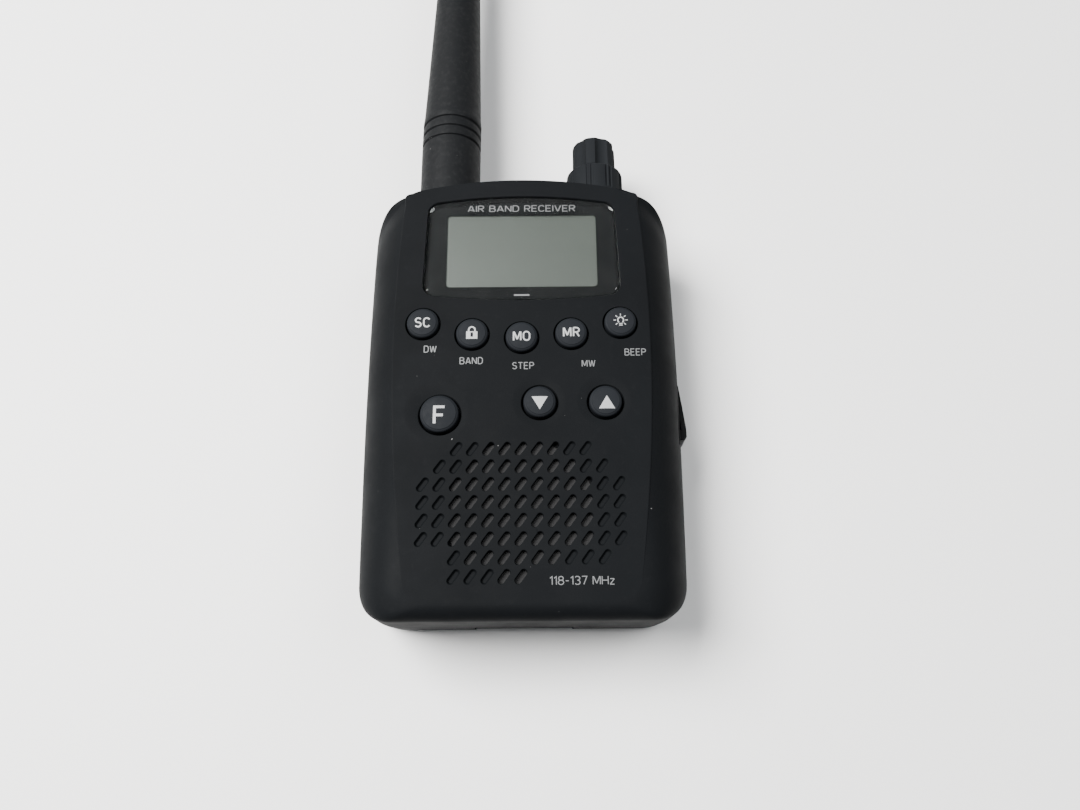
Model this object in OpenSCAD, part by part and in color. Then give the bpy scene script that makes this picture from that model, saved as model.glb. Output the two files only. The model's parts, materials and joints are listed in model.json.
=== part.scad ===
// Handheld airband receiver lying on its back.
// X runs to the right, Y towards the antenna, Z out of the front face.
// The origin is the centre of the flat back face. All sizes are in millimetres.

/* [Case] */
// Widest width of the case
case_w = 68.8; // [66:0.2:84]
// Length from the bottom end to the crown of the top arch
case_l = 97.3; // [95:0.1:120]
// Thickness from the back face to the front panel
case_t = 28; // [27:0.5:34]
// Wall thickness of both shells
wall = 2; // [1.6:0.1:2.4]
// Radius of the arched top end
arch_r = 100; // [90:1:140]
// Radius of the long flanks beside the front panel
flank_r = 14; // [12:0.5:15]
// Height of the front panel above the flanks
panel_step = 0.4; // [0.2:0.1:0.6]

/* [Display] */
// Width of the visible window
window_w = 33.6; // [30:0.2:35]
// Length of the visible window along the case
window_l = 18.3; // [16:0.1:19]
// Thickness of the clear display lens
lens_t = 1.35; // [1:0.05:1.4]

/* [Keys] */
// Diameter of the seven small keys
key_d = 6.8; // [5.6:0.1:8.2]
// Diameter of the function key
function_key_d = 8; // [7:0.1:9.6]
// Gap between a key and its hole
key_gap = 0.3; // [0.2:0.05:0.4]
// Height of a small key above the front panel
key_rise = 1.1; // [0.8:0.1:1.6]
// Travel of a key when pressed
key_travel = 0.7; // [0.4:0.1:0.7]

/* [Speaker grille] */
// Pitch of the slots across the case
slot_pitch_x = 3.28; // [3:0.02:3.4]
// Pitch of the slot rows along the case
slot_pitch_y = 3.68; // [3.3:0.02:3.8]
// Overall length of one slot
slot_l = 3.05; // [2.4:0.05:3.4]
// Width of one slot
slot_w = 1.24; // [0.9:0.02:1.4]
// Slant of the slots from the X axis, in degrees
slot_slant = 54; // [40:1:70]
// Diameter of the speaker
speaker_d = 32; // [30:0.5:33]

/* [Antenna and knobs] */
// Diameter of the antenna's straight base
antenna_d = 13.9; // [13.2:0.1:16.4]
// Length of the antenna from its base to its tip
antenna_l = 118; // [95:1:160]
// Diameter of the antenna's tip
antenna_tip_d = 7.4; // [7:0.1:9]
// Diameter of the ring knob that sets the squelch
ring_knob_d = 13.2; // [13:0.1:15]
// Diameter of the upper knob that sets the volume
top_knob_d = 10; // [8:0.1:12]
// Distance of the antenna and knob axes from the middle
axis_x = 17.5; // [17:0.1:18.5]

/* [Power] */
// Diameter of one AA cell
cell_d = 14.2; // [14:0.1:14.5]
// Length of one AA cell with its nub
cell_l = 50.5; // [49:0.1:50.6]

/* [Jack cover] */
// Length of the cover along the side
cover_l = 12; // [10:0.1:14]
// How far the cover stands open, in degrees
cover_open = 7; // [0:1:12]

/* [Hidden] */
$fn = 48;
fine = 240;      // segments of the very large arcs
eps = 0.01;
far = 400;       // longer than anything in the model
cut = 1;         // how far a cutter reaches past a surface
fit = 0.1;       // gap between pieces that are fitted together
clear = 0.3;     // gap between pieces that must not touch

// Case
half_w = case_w / 2;
y_bot = -case_l / 2;
y_top = case_l / 2;
split_z = case_t / 2;
body_t = case_t - panel_step;
ceiling_z = body_t - wall;
side_r = 1700;             // bulge of the long sides
belly_y = 5;               // where the case is widest
arch_fall = arch_r - sqrt(arch_r * arch_r - half_w * half_w);   // fall of the arched end at the sides
shoulder_r = 8;            // top corners in plan
shoulder_y = y_top - 3.4;  // top of the corner arcs
foot_r = 9;                // bottom corners in plan
front_edge_r = 3.2;        // rounding of the front face into the ends
crown_edge_r = 0.8;        // rounding of the raised panel at the arched end
back_edge_r = 3;           // rounding of the back face into the ends
back_flank_r = 5;          // rounding of the back face into the sides
flank_z = 15;              // height of the flank arcs' centres
crease_r = 340;            // the panel's long edges bow outwards
crease_x = 27.4 * case_w / 68.8;
crease_y = 12;
thread_gap = 0.05;         // round a screw in its hole
boss_r = 2.2;              // posts over the board screws
lip_t = 0.8;               // lip that locates the front shell
lip_h = 1.2;
function_dish = [-0.7, 0.8, 5.9, 0.5];   // shift, radius and depth of the dish round a key
down_dish = [-0.2, 0.2, 4.9, 0.4];
up_dish = [-0.3, 0.3, 5, 0.4];
grip_r = 8;                // finger notch in each side
grip_depth = 0.6;
grip_y = 6.6;

// Display
display_y = y_top - 17.3;
lens_drop = 0.05;          // lens below the panel, and its glue below the lens
lens_gap = 0.25;
window_round_r = 1;
recess_z = case_t - lens_t - 2 * lens_drop;
lens_top_y = display_y + 12.7;
lens_bot_y = display_y - 12.5;
lens_top_r = 116;
lens_bot_r = 170;
lens_half_top = 20.5;
lens_half_bot = 21.3;
lens_corner_r = 2.6;
glass_w = window_w + 4.4;
glass_l = window_l + 4.2;
glass_t = 2;
holder_x = 1.3;            // walls of the holder round the glass
holder_y = 0.7;
light_t = 1.5;
strip_w = 1.6;
glass_z = ceiling_z - 0.3 - glass_t;

// Board and keypad
board_t = 1.4;
board_top = 21.2;
board_z = board_top - board_t;
board_inset = wall + 1.2;
board_bot_y = -14;
board_top_y = y_top - arch_fall + 0.2;   // clear of the end where it falls at the sides
shield_w = 20;             // shield can
shield_y = 14.5;
shield_l = 21.5;
shield_h = 4.6;
shield_t = 0.3;
chip_t = 1.5;
// Middle, width and length of each chip
chip_places = [[0, 1, 11, 11], [0, 23, 10, 10], [23, -7.9, 5, 4.2], [-22.5, 8.5, 6, 5]];
can_x = 16;                // row of filter cans
can_y = 10.4;
can_w = 7;
can_l = 6.1;
can_pitch = 6.6;
can_h = 7;
cap_r = 2.6;               // row of capacitors
cap_x = -22.5;
cap_y = 13.5;
cap_l = 10.5;
mat_t = 0.9;
mat_top_y = 17.6;
hump_r = 3;
hump_gap = 0.3;              // left between a pressed key and the mat
key_row_y = 9.8;           // middle key of the row of five
key_row_pitch = 10.5;
key_row_r = 67;            // the row curves upwards at both ends
function_pos = [-16.9, -7.3];
down_pos = [3.7, -4.8];
up_pos = [17.3, -4.8];
flange_w = 1;              // rim that keeps a key in its hole
flange_t = 1;
flange_z = ceiling_z - 0.4 - flange_t;
hump_h = flange_z - key_travel - hump_gap - board_top - mat_t;
dome_d = 5;
dome_h = 0.35;
key_ball = 24;             // radius of a key's domed top

// Speaker and grille
speaker_pos = [-0.2, -27.6];
speaker_r = speaker_d / 2;
cloth_t = 0.3;
collar_t = 1;              // wall of the ring that holds the speaker
basket_r = 8.4;            // back of the speaker's frame
basket_h = 4;
magnet_r = 6.5;
magnet_h = 1.9;
sheet_t = 0.4;
rim_w = 1.8;
rim_h = 1;
cone_t = 0.3;
cone_cap_r = 2.6;
cone_cap_z = 1.6;
cone_root_r = 4;
cone_edge_z = 0.5;
cone_h = 2.6;
lead_r = 0.4;
lead_x = 1.2;
lead_drop = 0.9;
lead_in = 4.6;
lead_out = 3.2;
speaker_z = ceiling_z - cloth_t;
first_row_y = -14.7;
blind_depth = 0.6;
// Each row of slots: first column, last column, first open column, last open column
slot_rows = [[-4, 4, -2, 2], [-5, 5, -3, 3], [-6, 6, -4, 4], [-6, 6, -4, 4],
             [-6, 6, -4, 4], [-6, 6, -4, 4], [-4, 5, -3, 2], [-4, 0, -1, 0]];

// Top hardware
axis_z = split_z;
pad_d = 15;
pad_in = y_top - 5;
pad_out = y_top - 0.75;
socket_r = 4.8;
socket_bore_r = 4.075;
thread_r = 4.75;
socket_nut_r = 6.6;
socket_nut_h = 2;
socket_end = pad_out + 10.8;
insulator_r = 2.4;
insulator_drop = 1.6;
contact_tail_l = 9.5;
contact_r = 1.1;
pin_r = 0.69;
contact_bore_r = 0.76;
sleeve_y = pad_out + 2.4;
collar_r = 5.8;
collar_bore_r = 4.9;
collar_l = 11.8;
plug_r = 4;
plug_bore_r = 3.3;
plug_l = 6.9;              // how far the plug reaches into the socket
plug_end = 0.4;            // plug's disc above the socket's end
disc_t = 1.2;
disc_bore_r = 1.8;
pin_l = 6.4;
pin_root_l = 4;
groove_y = sleeve_y + 15.8;
groove_pitch = 2.7;
groove_w = 0.7;
groove_depth = 0.45;
taper_y = sleeve_y + 24;
sleeve_tip = sleeve_y + antenna_l;
tip_round_r = 2.2;
lug_r = 0.95;              // bayonet lugs
lug_h = 0.75;
barrel_l = 8.4;            // plain barrel that takes the plug
bore_l = 7.6;
washer_t = 0.6;
lug_drop = 3.4;            // lugs below the socket's end
flange_r = 5.5;            // socket flange behind the washer
flange_l = 1.6;
tail_l = 7;                // how far the socket reaches into the case
tail_r = 3.2;
coil_r = 2.1;
coil_wire_r = 0.5;
coil_turns = 14;
coil_end = 6;              // coil short of the socket and the tip
control_w = 11;
control_h = 10.4;
control_y = pad_in - 13;
bushing_r = 3.5;
control_pin_pitch = 2;
bushing_out = 3.6;
ring_bore_y = 5;
top_bore_y = 2;
pin_wire_r = 0.4;
ring_shaft_r = 3;
top_shaft_r = 1.9;
shaft_gap = 0.05;
ring_y = pad_out + 0.5;
ring_l = 10;
top_y = ring_y + ring_l + 0.4;
top_l = 7.8;
knob_nut_r = 5.2;
knob_nut_h = 1.9;
knob_top_t = 1;            // ring knob beyond its shaft
knob_end_t = 1.6;          // volume knob beyond its shaft
knob_bore_l = 3.4;
ring_ribs = 12;
ring_flute_r = 0.75;
ring_flute_l = 7;
lobes = 6;
lobe_r = 2.3;
lobe_start = 0.9;
lobe_out = 1.9;            // how far a lobe's cutter stands outside the knob

// Battery bay
door_t = 1.8;
door_w = 34.4;
door_top_y = 9.6;
door_gap = 0.2;
rail_w = 0.7;
rail_t = 0.8;
rail_z = 0.7;
rail_ends = [2.5, 2];      // how far the rails stop short of the door's ends
tongue_w = 20.4;
tongue_h = 12;
tongue_set = 0.3;          // the tongue sits back from the bottom end
tongue_t = 1.6;
bay_w = 2 * cell_d + 1.8;
bay_wall = 1.1;
bay_y0 = y_bot + 3.2;
bay_l = cell_l + 3.1;
bay_top_z = 17;
contact_t = 0.4;
cell_x = cell_d / 2 + 0.3;
cell_z = 2.2 + cell_d / 2;
spring_h = bay_l - 2 * fit - 2 * contact_t - cell_l;
spring_wire_r = 0.35;
spring_wide_r = 4.6;
spring_narrow_r = 2.6;
contact_w = 10.8;
contact_tail_w = 4;
nub_r = 2.7;
nub_l = 1.5;

// Case screws, and the screws that hold the board
screw_top = [half_w - 6.1, y_top - 10.8];
screw_bot = [half_w - 6.8, y_bot + 7.6];
post_r = 2.9;
screw_r = 1.1;
screw_head_r = 2;
screw_seat_z = 4;
screw_head_h = 1.3;
driver_share = 1.2;        // length of the driver slots as a part of the head's radius
driver_t = 0.45;
screw_l = 17;
small_screw = [0.8, 1.6, 1, 4];   // radius, head radius, head height and length of a board screw
board_screw_pos = [[-26.2, 25], [26.2, 25], [-26.4, 3], [26.4, 3]];

// Jack cover on the right side
hinge_x = half_w - 0.75;
hinge_y = 2.3;
cover_t = 0.9;
cover_h = 7;
cover_lip = 1;
cover_lip_l = 2.1;
lip_in = 0.5;              // lip narrower than the cover on each side
recess_d = 1.4;
recess_gap = 0.4;          // round the cover, above and below
recess_end = 0.5;          // past the cover's free end
jack_y = -2.9;
jack_r = 3;
jack_bore_r = 1.8;
jack_block_h = 12;
jack_body_w = 6.4;
jack_body_h = 6.2;
jack_body_l = 10.4;
jack_bore_l = 11.5;
anchor_l = 1.6;            // strip that holds the cover, beyond its hinge
jack_x = half_w - recess_d;

function row_x(i) = i * key_row_pitch;
function row_y(i) = key_row_y + pow(row_x(i), 2) / (2 * key_row_r);
function key_places() = concat([for (i = [-2:2]) [row_x(i), row_y(i)]], [function_pos, down_pos, up_pos]);

// ---------------------------------------------------------------- helpers

module along_y(y0, y1) {
    translate([0, y0, 0]) rotate([-90, 0, 0]) linear_extrude(y1 - y0) children();
}

module rod_y(x, z, y0, y1, r) {
    translate([x, y0, z]) rotate([-90, 0, 0]) cylinder(r = r, h = y1 - y0);
}

module rod_x(y, z, x0, x1, r) {
    translate([x0, y, z]) rotate([0, 90, 0]) cylinder(r = r, h = x1 - x0);
}

module box(x0, x1, y0, y1, z0, z1) {
    translate([x0, y0, z0]) cube([x1 - x0, y1 - y0, z1 - z0]);
}

module both_sides() {
    children();
    mirror([1, 0, 0]) children();
}

module rounded_box2d(w, l, r) {
    square([w - 2 * r, l], center = true);
    square([w, l - 2 * r], center = true);
    for (sx = [-1, 1], sy = [-1, 1]) translate([sx * (w / 2 - r), sy * (l / 2 - r)]) circle(r);
}

// A round wire wound about the Y axis, from y0 to y1, its radius going from r0 to r1
module coil(y0, y1, r0, r1, wire, turns, steps = 12, sides = 5) {
    count = turns * steps;
    function mid(i) = [for (t = [i / count]) [r0 + (r1 - r0) * t, y0 + (y1 - y0) * t, 360 * turns * t]][0];
    function spot(i, j) = [for (m = [mid(i)], a = [360 * j / sides])
        [(m[0] + wire * cos(a)) * cos(m[2]), m[1] + wire * sin(a), (m[0] + wire * cos(a)) * sin(m[2])]][0];
    points = [for (i = [0:count], j = [0:sides - 1]) spot(i, j)];
    skin = [for (i = [0:count - 1], j = [0:sides - 1], half = [0, 1]) half == 0
        ? [i * sides + j, i * sides + (j + 1) % sides, (i + 1) * sides + j]
        : [i * sides + (j + 1) % sides, (i + 1) * sides + (j + 1) % sides, (i + 1) * sides + j]];
    first = [[for (j = [sides - 1:-1:0]) j]];
    last = [[for (j = [0:sides - 1]) count * sides + j]];
    polyhedron(points, concat(skin, first, last), convexity = 6);
}

// ---------------------------------------------------------------- case shape

module plan2d(d) {
    intersection() {
        translate([half_w - side_r, belly_y]) circle(side_r - d, $fn = 720);
        translate([side_r - half_w, belly_y]) circle(side_r - d, $fn = 720);
        union() {
            both_sides() {
                translate([half_w - shoulder_r, shoulder_y - shoulder_r]) circle(shoulder_r - d);
                translate([half_w - foot_r, y_bot + foot_r]) circle(foot_r - d);
            }
            translate([-half_w + d, y_bot + foot_r])
                square([case_w - 2 * d, shoulder_y - shoulder_r - y_bot - foot_r]);
            translate([-half_w + shoulder_r, 0]) square([case_w - 2 * shoulder_r, y_top]);
            translate([-half_w + foot_r, y_bot + d]) square([case_w - 2 * foot_r, -y_bot]);
        }
    }
}

// Front panel between its two bowed creases
module panel2d() {
    intersection() {
        translate([crease_x - crease_r, crease_y]) circle(crease_r, $fn = fine);
        translate([crease_r - crease_x, crease_y]) circle(crease_r, $fn = fine);
        square([case_w, 2 * y_top], center = true);
    }
}

// Rounding of the bottom end, as seen from the side
module foot_profile(d) {
    translate([y_bot + d, back_edge_r]) square([far, case_t - back_edge_r - front_edge_r]);
    translate([y_bot + front_edge_r, d]) square([far, case_t - 2 * d]);
    translate([y_bot + front_edge_r, case_t - front_edge_r]) circle(front_edge_r - d);
    translate([y_bot + back_edge_r, back_edge_r]) circle(back_edge_r - d);
}

// Rounding of the arched top end, turned about the arch's centre
module crown_profile(d, front_r) {
    translate([0, back_edge_r]) square([arch_r - d, case_t - back_edge_r - front_r]);
    translate([0, d]) square([arch_r - max(front_r, back_edge_r), case_t - 2 * d]);
    translate([0, back_edge_r]) square([arch_r - front_r, case_t - back_edge_r - d]);
    translate([arch_r - front_r, case_t - front_r]) circle(front_r - d);
    translate([arch_r - back_edge_r, back_edge_r]) circle(back_edge_r - d);
}

// Section across the case: round flanks in front, small corners behind
module section2d(d) {
    both_sides() {
        intersection() {
            translate([half_w - flank_r, flank_z]) circle(flank_r - d);
            translate([0, flank_z]) square([half_w, body_t - d - flank_z]);
        }
        translate([half_w - back_flank_r, back_flank_r]) circle(back_flank_r - d);
        translate([0, back_flank_r]) square([half_w - d, flank_z - back_flank_r]);
        translate([0, d]) square([half_w - back_flank_r, flank_z]);
        translate([0, flank_z - eps]) square([half_w - flank_r, body_t - d - flank_z + eps]);
    }
}

module ends(d, front_r = front_edge_r) {
    intersection() {
        rotate([90, 0, 90]) linear_extrude(case_w + 2, center = true) foot_profile(d);
        translate([0, y_top - arch_r, 0]) rotate_extrude($fn = 360) crown_profile(d, front_r);
    }
}

module envelope(d) {
    intersection() {
        linear_extrude(case_t) plan2d(d);
        rotate([90, 0, 0]) linear_extrude(2 * case_l, center = true) section2d(d);
        ends(d);
    }
}

module outer_case() {
    difference() {
        union() {
            envelope(0);
            intersection() {
                linear_extrude(case_t) panel2d();
                translate([0, 0, case_t - front_edge_r - eps]) linear_extrude(case_t) plan2d(0);
                ends(0, crown_edge_r);
            }
        }
        both_sides() translate([half_w + grip_r - grip_depth, grip_y, -eps])
            cylinder(r = grip_r, h = case_t);
    }
}

// Holes and seats that both shells share, cut at the parting plane
module shared_cuts() {
    rod_y(-axis_x, axis_z, pad_in - 2 * cut, far, thread_r + fit);
    rod_y(axis_x, axis_z, pad_in - 2 * cut, far, bushing_r + fit);
    both_sides() rod_y(axis_x, axis_z, pad_out, far, pad_d / 2);
    rod_x(jack_y, axis_z, jack_x - 2 * wall, half_w, jack_r + fit);
    box(jack_x, far, hinge_y - cover_l - recess_end, hinge_y + anchor_l,
        axis_z - cover_h / 2 - recess_gap, axis_z + cover_h / 2 + recess_gap);
    box(jack_x - cover_lip - 2 * fit, jack_x + cut, hinge_y - cover_l - recess_end,
        hinge_y - cover_l + cover_lip_l + recess_end,
        axis_z - cover_h / 2 - recess_gap, axis_z + cover_h / 2 + recess_gap);
}

// Flat pads under the antenna socket and the knobs, and the block behind the jack cover
module shared_pads() {
    rod_y(-axis_x, axis_z, pad_in, pad_out, pad_d / 2);
    rod_y(axis_x, axis_z, pad_in, pad_out, pad_d / 2);
    box(jack_x - wall, jack_x + cut / 2, hinge_y - cover_l - wall, hinge_y + anchor_l + collar_t,
        axis_z - jack_block_h / 2, axis_z + jack_block_h / 2);
}

module screw_places() {
    both_sides() {
        translate(screw_top) children();
        translate(screw_bot) children();
    }
}

// ---------------------------------------------------------------- grille and lens outlines

module slot2d(i, j) {
    translate([speaker_pos[0] + i * slot_pitch_x, first_row_y - j * slot_pitch_y]) rotate(slot_slant) {
        square([slot_l - slot_w, slot_w], center = true);
        for (s = [-1, 1]) translate([s * (slot_l - slot_w) / 2, 0]) circle(d = slot_w, $fn = 16);
    }
}

module slots2d(open) {
    for (j = [0:len(slot_rows) - 1], i = [slot_rows[j][0]:slot_rows[j][1]]) {
        inside = i >= slot_rows[j][2] && i <= slot_rows[j][3];
        if (inside == open) slot2d(i, j);
    }
}

module lens2d(grow) {
    offset(lens_corner_r + grow) offset(-lens_corner_r) intersection() {
        translate([0, lens_top_y - lens_top_r]) circle(lens_top_r, $fn = fine);
        translate([0, lens_bot_y + lens_bot_r]) circle(lens_bot_r, $fn = fine);
        polygon([[-lens_half_bot, lens_bot_y], [lens_half_bot, lens_bot_y],
                 [lens_half_top, lens_top_y], [-lens_half_top, lens_top_y]]);
    }
}

module board2d() {
    difference() {
        intersection() {
            plan2d(board_inset);
            translate([-half_w + 4.6, board_bot_y]) square([case_w - 9.2, board_top_y - board_bot_y]);
        }
        translate(speaker_pos) circle(speaker_r + 1.4);
        both_sides() translate(screw_top) circle(post_r + 0.4);
    }
}

// ---------------------------------------------------------------- casings

// A shallow dish pressed into the panel round a key
module dish(pos, d) {
    ball = (d[2] * d[2] + d[3] * d[3]) / (2 * d[3]);
    translate([pos[0] + d[0], pos[1] + d[1], case_t - d[3] + ball]) sphere(ball, $fn = 96);
}

module front_case() {
    color("#26292b") difference() {
        union() {
            intersection() {
                outer_case();
                union() {
                    difference() {
                        box(-half_w, half_w, y_bot, y_top, split_z, case_t);
                        envelope(wall);
                    }
                    screw_places() translate([0, 0, split_z])
                        cylinder(r = post_r, h = body_t - split_z - wall / 2);
                    for (p = board_screw_pos)
                        translate([p[0], p[1], board_top])
                            cylinder(r = boss_r, h = body_t - board_top - wall / 2);
                    translate([speaker_pos[0], speaker_pos[1], speaker_z - 3 * collar_t]) difference() {
                        cylinder(r = speaker_r + fit + collar_t, h = 4 * collar_t);
                        translate([0, 0, -cut])
                            cylinder(r = speaker_r + fit, h = 3 * collar_t + cut + cloth_t);
                    }
                }
            }
            intersection() {
                shared_pads();
                box(-far, half_w - cut / 2, y_bot, far, split_z, case_t);
            }
        }
        shared_cuts();
        translate([0, 0, recess_z]) linear_extrude(case_t) lens2d(lens_gap);
        translate([0, display_y, ceiling_z - cut]) linear_extrude(case_t)
            rounded_box2d(window_w, window_l, window_round_r);
        for (p = key_places()) {
            d = p == function_pos ? function_key_d : key_d;
            translate([p[0], p[1], ceiling_z - cut]) cylinder(d = d + 2 * key_gap, h = case_t);
        }
        dish(function_pos, function_dish);
        dish(down_pos, down_dish);
        dish(up_pos, up_dish);
        translate([0, 0, ceiling_z - cut]) linear_extrude(case_t) slots2d(true);
        translate([0, 0, case_t - blind_depth]) linear_extrude(case_t) slots2d(false);
        screw_places() translate([0, 0, split_z - cut])
            cylinder(r = screw_r + thread_gap, h = screw_seat_z + screw_l - split_z + 2 * cut);
        for (p = board_screw_pos) translate([p[0], p[1], board_z])
            cylinder(r = small_screw[0] + thread_gap, h = small_screw[3] + fit);
    }
}

module rear_case() {
    color("#26292b") difference() {
        union() {
            intersection() {
                outer_case();
                union() {
                    difference() {
                        box(-half_w, half_w, y_bot, y_top, 0, split_z);
                        envelope(wall);
                    }
                    screw_places() cylinder(r = post_r, h = split_z);
                }
            }
            // Lip that locates the front shell
            difference() {
                union() {
                    intersection() {
                        envelope(wall - fit);
                        box(-half_w, half_w, y_bot, y_top, split_z - cut, split_z);
                    }
                    intersection() {
                        envelope(wall + fit);
                        box(-half_w, half_w, y_bot, y_top, split_z - cut, split_z + lip_h);
                    }
                }
                envelope(wall + fit + lip_t);
                screw_places() cylinder(r = post_r + 2 * fit, h = case_t);
                box(half_w - 3 * wall, half_w, hinge_y - cover_l - wall - fit, hinge_y + anchor_l + wall,
                    split_z - eps, case_t);
                both_sides() rod_y(axis_x, axis_z, pad_in - cut, far, pad_d / 2 + 2 * fit);
            }
            intersection() {
                shared_pads();
                box(-far, half_w - cut / 2, y_bot, far, 0, split_z);
            }
            // Battery bay
            difference() {
                box(-bay_w / 2 - bay_wall, bay_w / 2 + bay_wall, bay_y0 - bay_wall, bay_y0 + bay_l + bay_wall,
                    wall, bay_top_z + wall / 2);
                box(-bay_w / 2, bay_w / 2, bay_y0, bay_y0 + bay_l, -cut, bay_top_z);
            }
        }
        shared_cuts();
        // Opening, rail grooves and end notch for the battery door
        opening_w = door_w / 2 + door_gap;
        box(-opening_w, opening_w, y_bot - cut, door_top_y + door_gap, -cut, wall + eps);
        box(-opening_w - rail_w, opening_w + rail_w, y_bot - cut, door_top_y + door_gap,
            rail_z - door_gap, rail_z + rail_t + door_gap);
        box(-bay_w / 2, bay_w / 2, bay_y0, bay_y0 + bay_l, -cut, bay_top_z);
        box(-tongue_w / 2 - door_gap, tongue_w / 2 + door_gap, y_bot - cut, bay_y0 - bay_wall,
            -cut, tongue_h + door_gap);
        // Slots for the tails of the upper contacts
        both_sides() box(cell_x - contact_tail_w / 2 - 2 * fit, cell_x + contact_tail_w / 2 + 2 * fit,
            bay_y0 + bay_l - contact_t - clear, bay_y0 + bay_l, bay_top_z - cut, bay_top_z + 2 * cut);
        screw_places() {
            translate([0, 0, -cut]) cylinder(r = screw_head_r + 2 * fit, h = screw_seat_z + cut);
            cylinder(r = screw_r + 3 * thread_gap, h = case_t);
        }
    }
}

module battery_door() {
    color("#232628") intersection() {
        outer_case();
        union() {
            box(-door_w / 2, door_w / 2, y_bot, door_top_y, 0, door_t);
            box(-door_w / 2 - rail_w, door_w / 2 + rail_w, y_bot + rail_ends[0], door_top_y - rail_ends[1],
                rail_z, rail_z + rail_t);
            box(-tongue_w / 2, tongue_w / 2, y_bot + tongue_set, y_bot + tongue_set + tongue_t, 0, tongue_h);
        }
    }
}

module screw(r, head_r, head_h, length) {
    difference() {
        union() {
            translate([0, 0, -head_h]) cylinder(r = head_r, h = head_h);
            cylinder(r = r, h = length);
        }
        for (a = [0, 90]) rotate(a) translate([0, 0, -head_h])
            cube([head_r * driver_share, driver_t, head_h], center = true);
    }
}

module case_screws() {
    color("silver") screw_places() translate([0, 0, screw_seat_z])
        screw(screw_r, screw_head_r, screw_head_h, screw_l);
}

// ---------------------------------------------------------------- display

module display_lens() {
    color("#101214") translate([0, 0, recess_z + lens_drop]) linear_extrude(lens_t) lens2d(0);
}

module lcd_glass() {
    color("#8d968c") translate([0, display_y, glass_z]) linear_extrude(glass_t)
        rounded_box2d(glass_w, glass_l, clear);
}

module display_holder() {
    color("#d8d8d2") translate([0, display_y, board_top]) linear_extrude(glass_z + glass_t - board_top)
        difference() {
            rounded_box2d(glass_w + 2 * holder_x, glass_l + 2 * holder_y, holder_y);
            square([glass_w + 2 * fit, glass_l + 2 * fit], center = true);
        }
}

module backlight_panel() {
    color("#e9f0d8") translate([0, display_y, board_top + fit]) linear_extrude(light_t)
        rounded_box2d(glass_w - 2 * strip_w, glass_l - 3 * strip_w, clear);
}

module contact_strips() {
    color("#c0707c") for (s = [-1, 1]) translate([0, display_y + s * (glass_l / 2 - strip_w / 2 - clear), 0])
        box(strip_w - glass_w / 2, glass_w / 2 - strip_w, -strip_w / 2, strip_w / 2, board_top, glass_z);
}

// ---------------------------------------------------------------- board

module main_board() {
    color("#1f6b3a") difference() {
        translate([0, 0, board_z]) linear_extrude(board_t) board2d();
        for (p = board_screw_pos) translate([p[0], p[1], board_z - cut])
            cylinder(r = small_screw[0] + 2 * fit, h = board_t + 2 * cut);
    }
}

module board_screws() {
    color("silver") for (p = board_screw_pos) translate([p[0], p[1], board_z])
        screw(small_screw[0], small_screw[1], small_screw[2], small_screw[3]);
}

module rf_shield() {
    color("silver") difference() {
        box(-shield_w / 2, shield_w / 2, shield_y, shield_y + shield_l, board_z - shield_h, board_z);
        box(shield_t - shield_w / 2, shield_w / 2 - shield_t, shield_y + shield_t,
            shield_y + shield_l - shield_t, board_z - shield_h + shield_t, board_z + cut);
    }
}

module chips() {
    color("#17181a") for (c = chip_places)
        box(c[0] - c[2] / 2, c[0] + c[2] / 2, c[1] - c[3] / 2, c[1] + c[3] / 2, board_z - chip_t, board_z);
}

module filter_cans() {
    color("silver") for (i = [0:2]) translate([can_x, can_y + i * can_pitch, 0])
        box(-can_w / 2, can_w / 2, 0, can_l, board_z - can_h, board_z);
}

module capacitors() {
    color("#20324a") for (i = [0:2])
        rod_x(cap_y + i * can_pitch, board_z - cap_r, cap_x, cap_x + cap_l, cap_r);
}

module dome_switches() {
    color("silver") for (p = key_places()) translate([p[0], p[1], board_top])
        cylinder(d = dome_d, h = dome_h);
}

module keypad_mat() {
    color("#9a9c9c") difference() {
        union() {
            translate([0, 0, board_top]) linear_extrude(mat_t) intersection() {
                board2d();
                translate([-half_w, board_bot_y]) square([case_w, mat_top_y - board_bot_y]);
            }
            for (p = key_places()) translate([p[0], p[1], board_top])
                cylinder(r = hump_r, h = mat_t + hump_h);
        }
        for (p = key_places()) translate([p[0], p[1], board_top - cut])
            cylinder(r = hump_r - clear, h = cut + dome_h + clear);
        for (p = board_screw_pos) translate([p[0], p[1], board_top - cut])
            cylinder(r = boss_r + clear, h = mat_t + 2 * cut);
    }
}

// A key cap with a slightly domed top and a rim below the panel
module key_cap(pos, d, rise) {
    top_z = case_t + rise;
    color("#4a4d52") translate([pos[0], pos[1], 0]) {
        intersection() {
            translate([0, 0, flange_z]) cylinder(d = d, h = top_z - flange_z);
            translate([0, 0, top_z - key_ball]) sphere(key_ball, $fn = 96);
        }
        translate([0, 0, flange_z]) cylinder(d = d + 2 * flange_w, h = flange_t);
    }
}

module scan_key() { key_cap([row_x(-2), row_y(-2)], key_d, key_rise); }
module lock_key() { key_cap([row_x(-1), row_y(-1)], key_d, key_rise); }
module monitor_key() { key_cap([row_x(0), row_y(0)], key_d, key_rise); }
module recall_key() { key_cap([row_x(1), row_y(1)], key_d, key_rise); }
module lamp_key() { key_cap([row_x(2), row_y(2)], key_d, key_rise); }
module function_key() { key_cap(function_pos, function_key_d, key_rise + 2 * fit); }
module down_key() { key_cap(down_pos, key_d, key_rise); }
module up_key() { key_cap(up_pos, key_d, key_rise); }

// ---------------------------------------------------------------- speaker

module at_speaker() {
    translate([speaker_pos[0], speaker_pos[1], speaker_z]) children();
}

module speaker_cloth() {
    color("#0c0d0e") at_speaker() cylinder(r = speaker_r, h = cloth_t);
}

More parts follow.
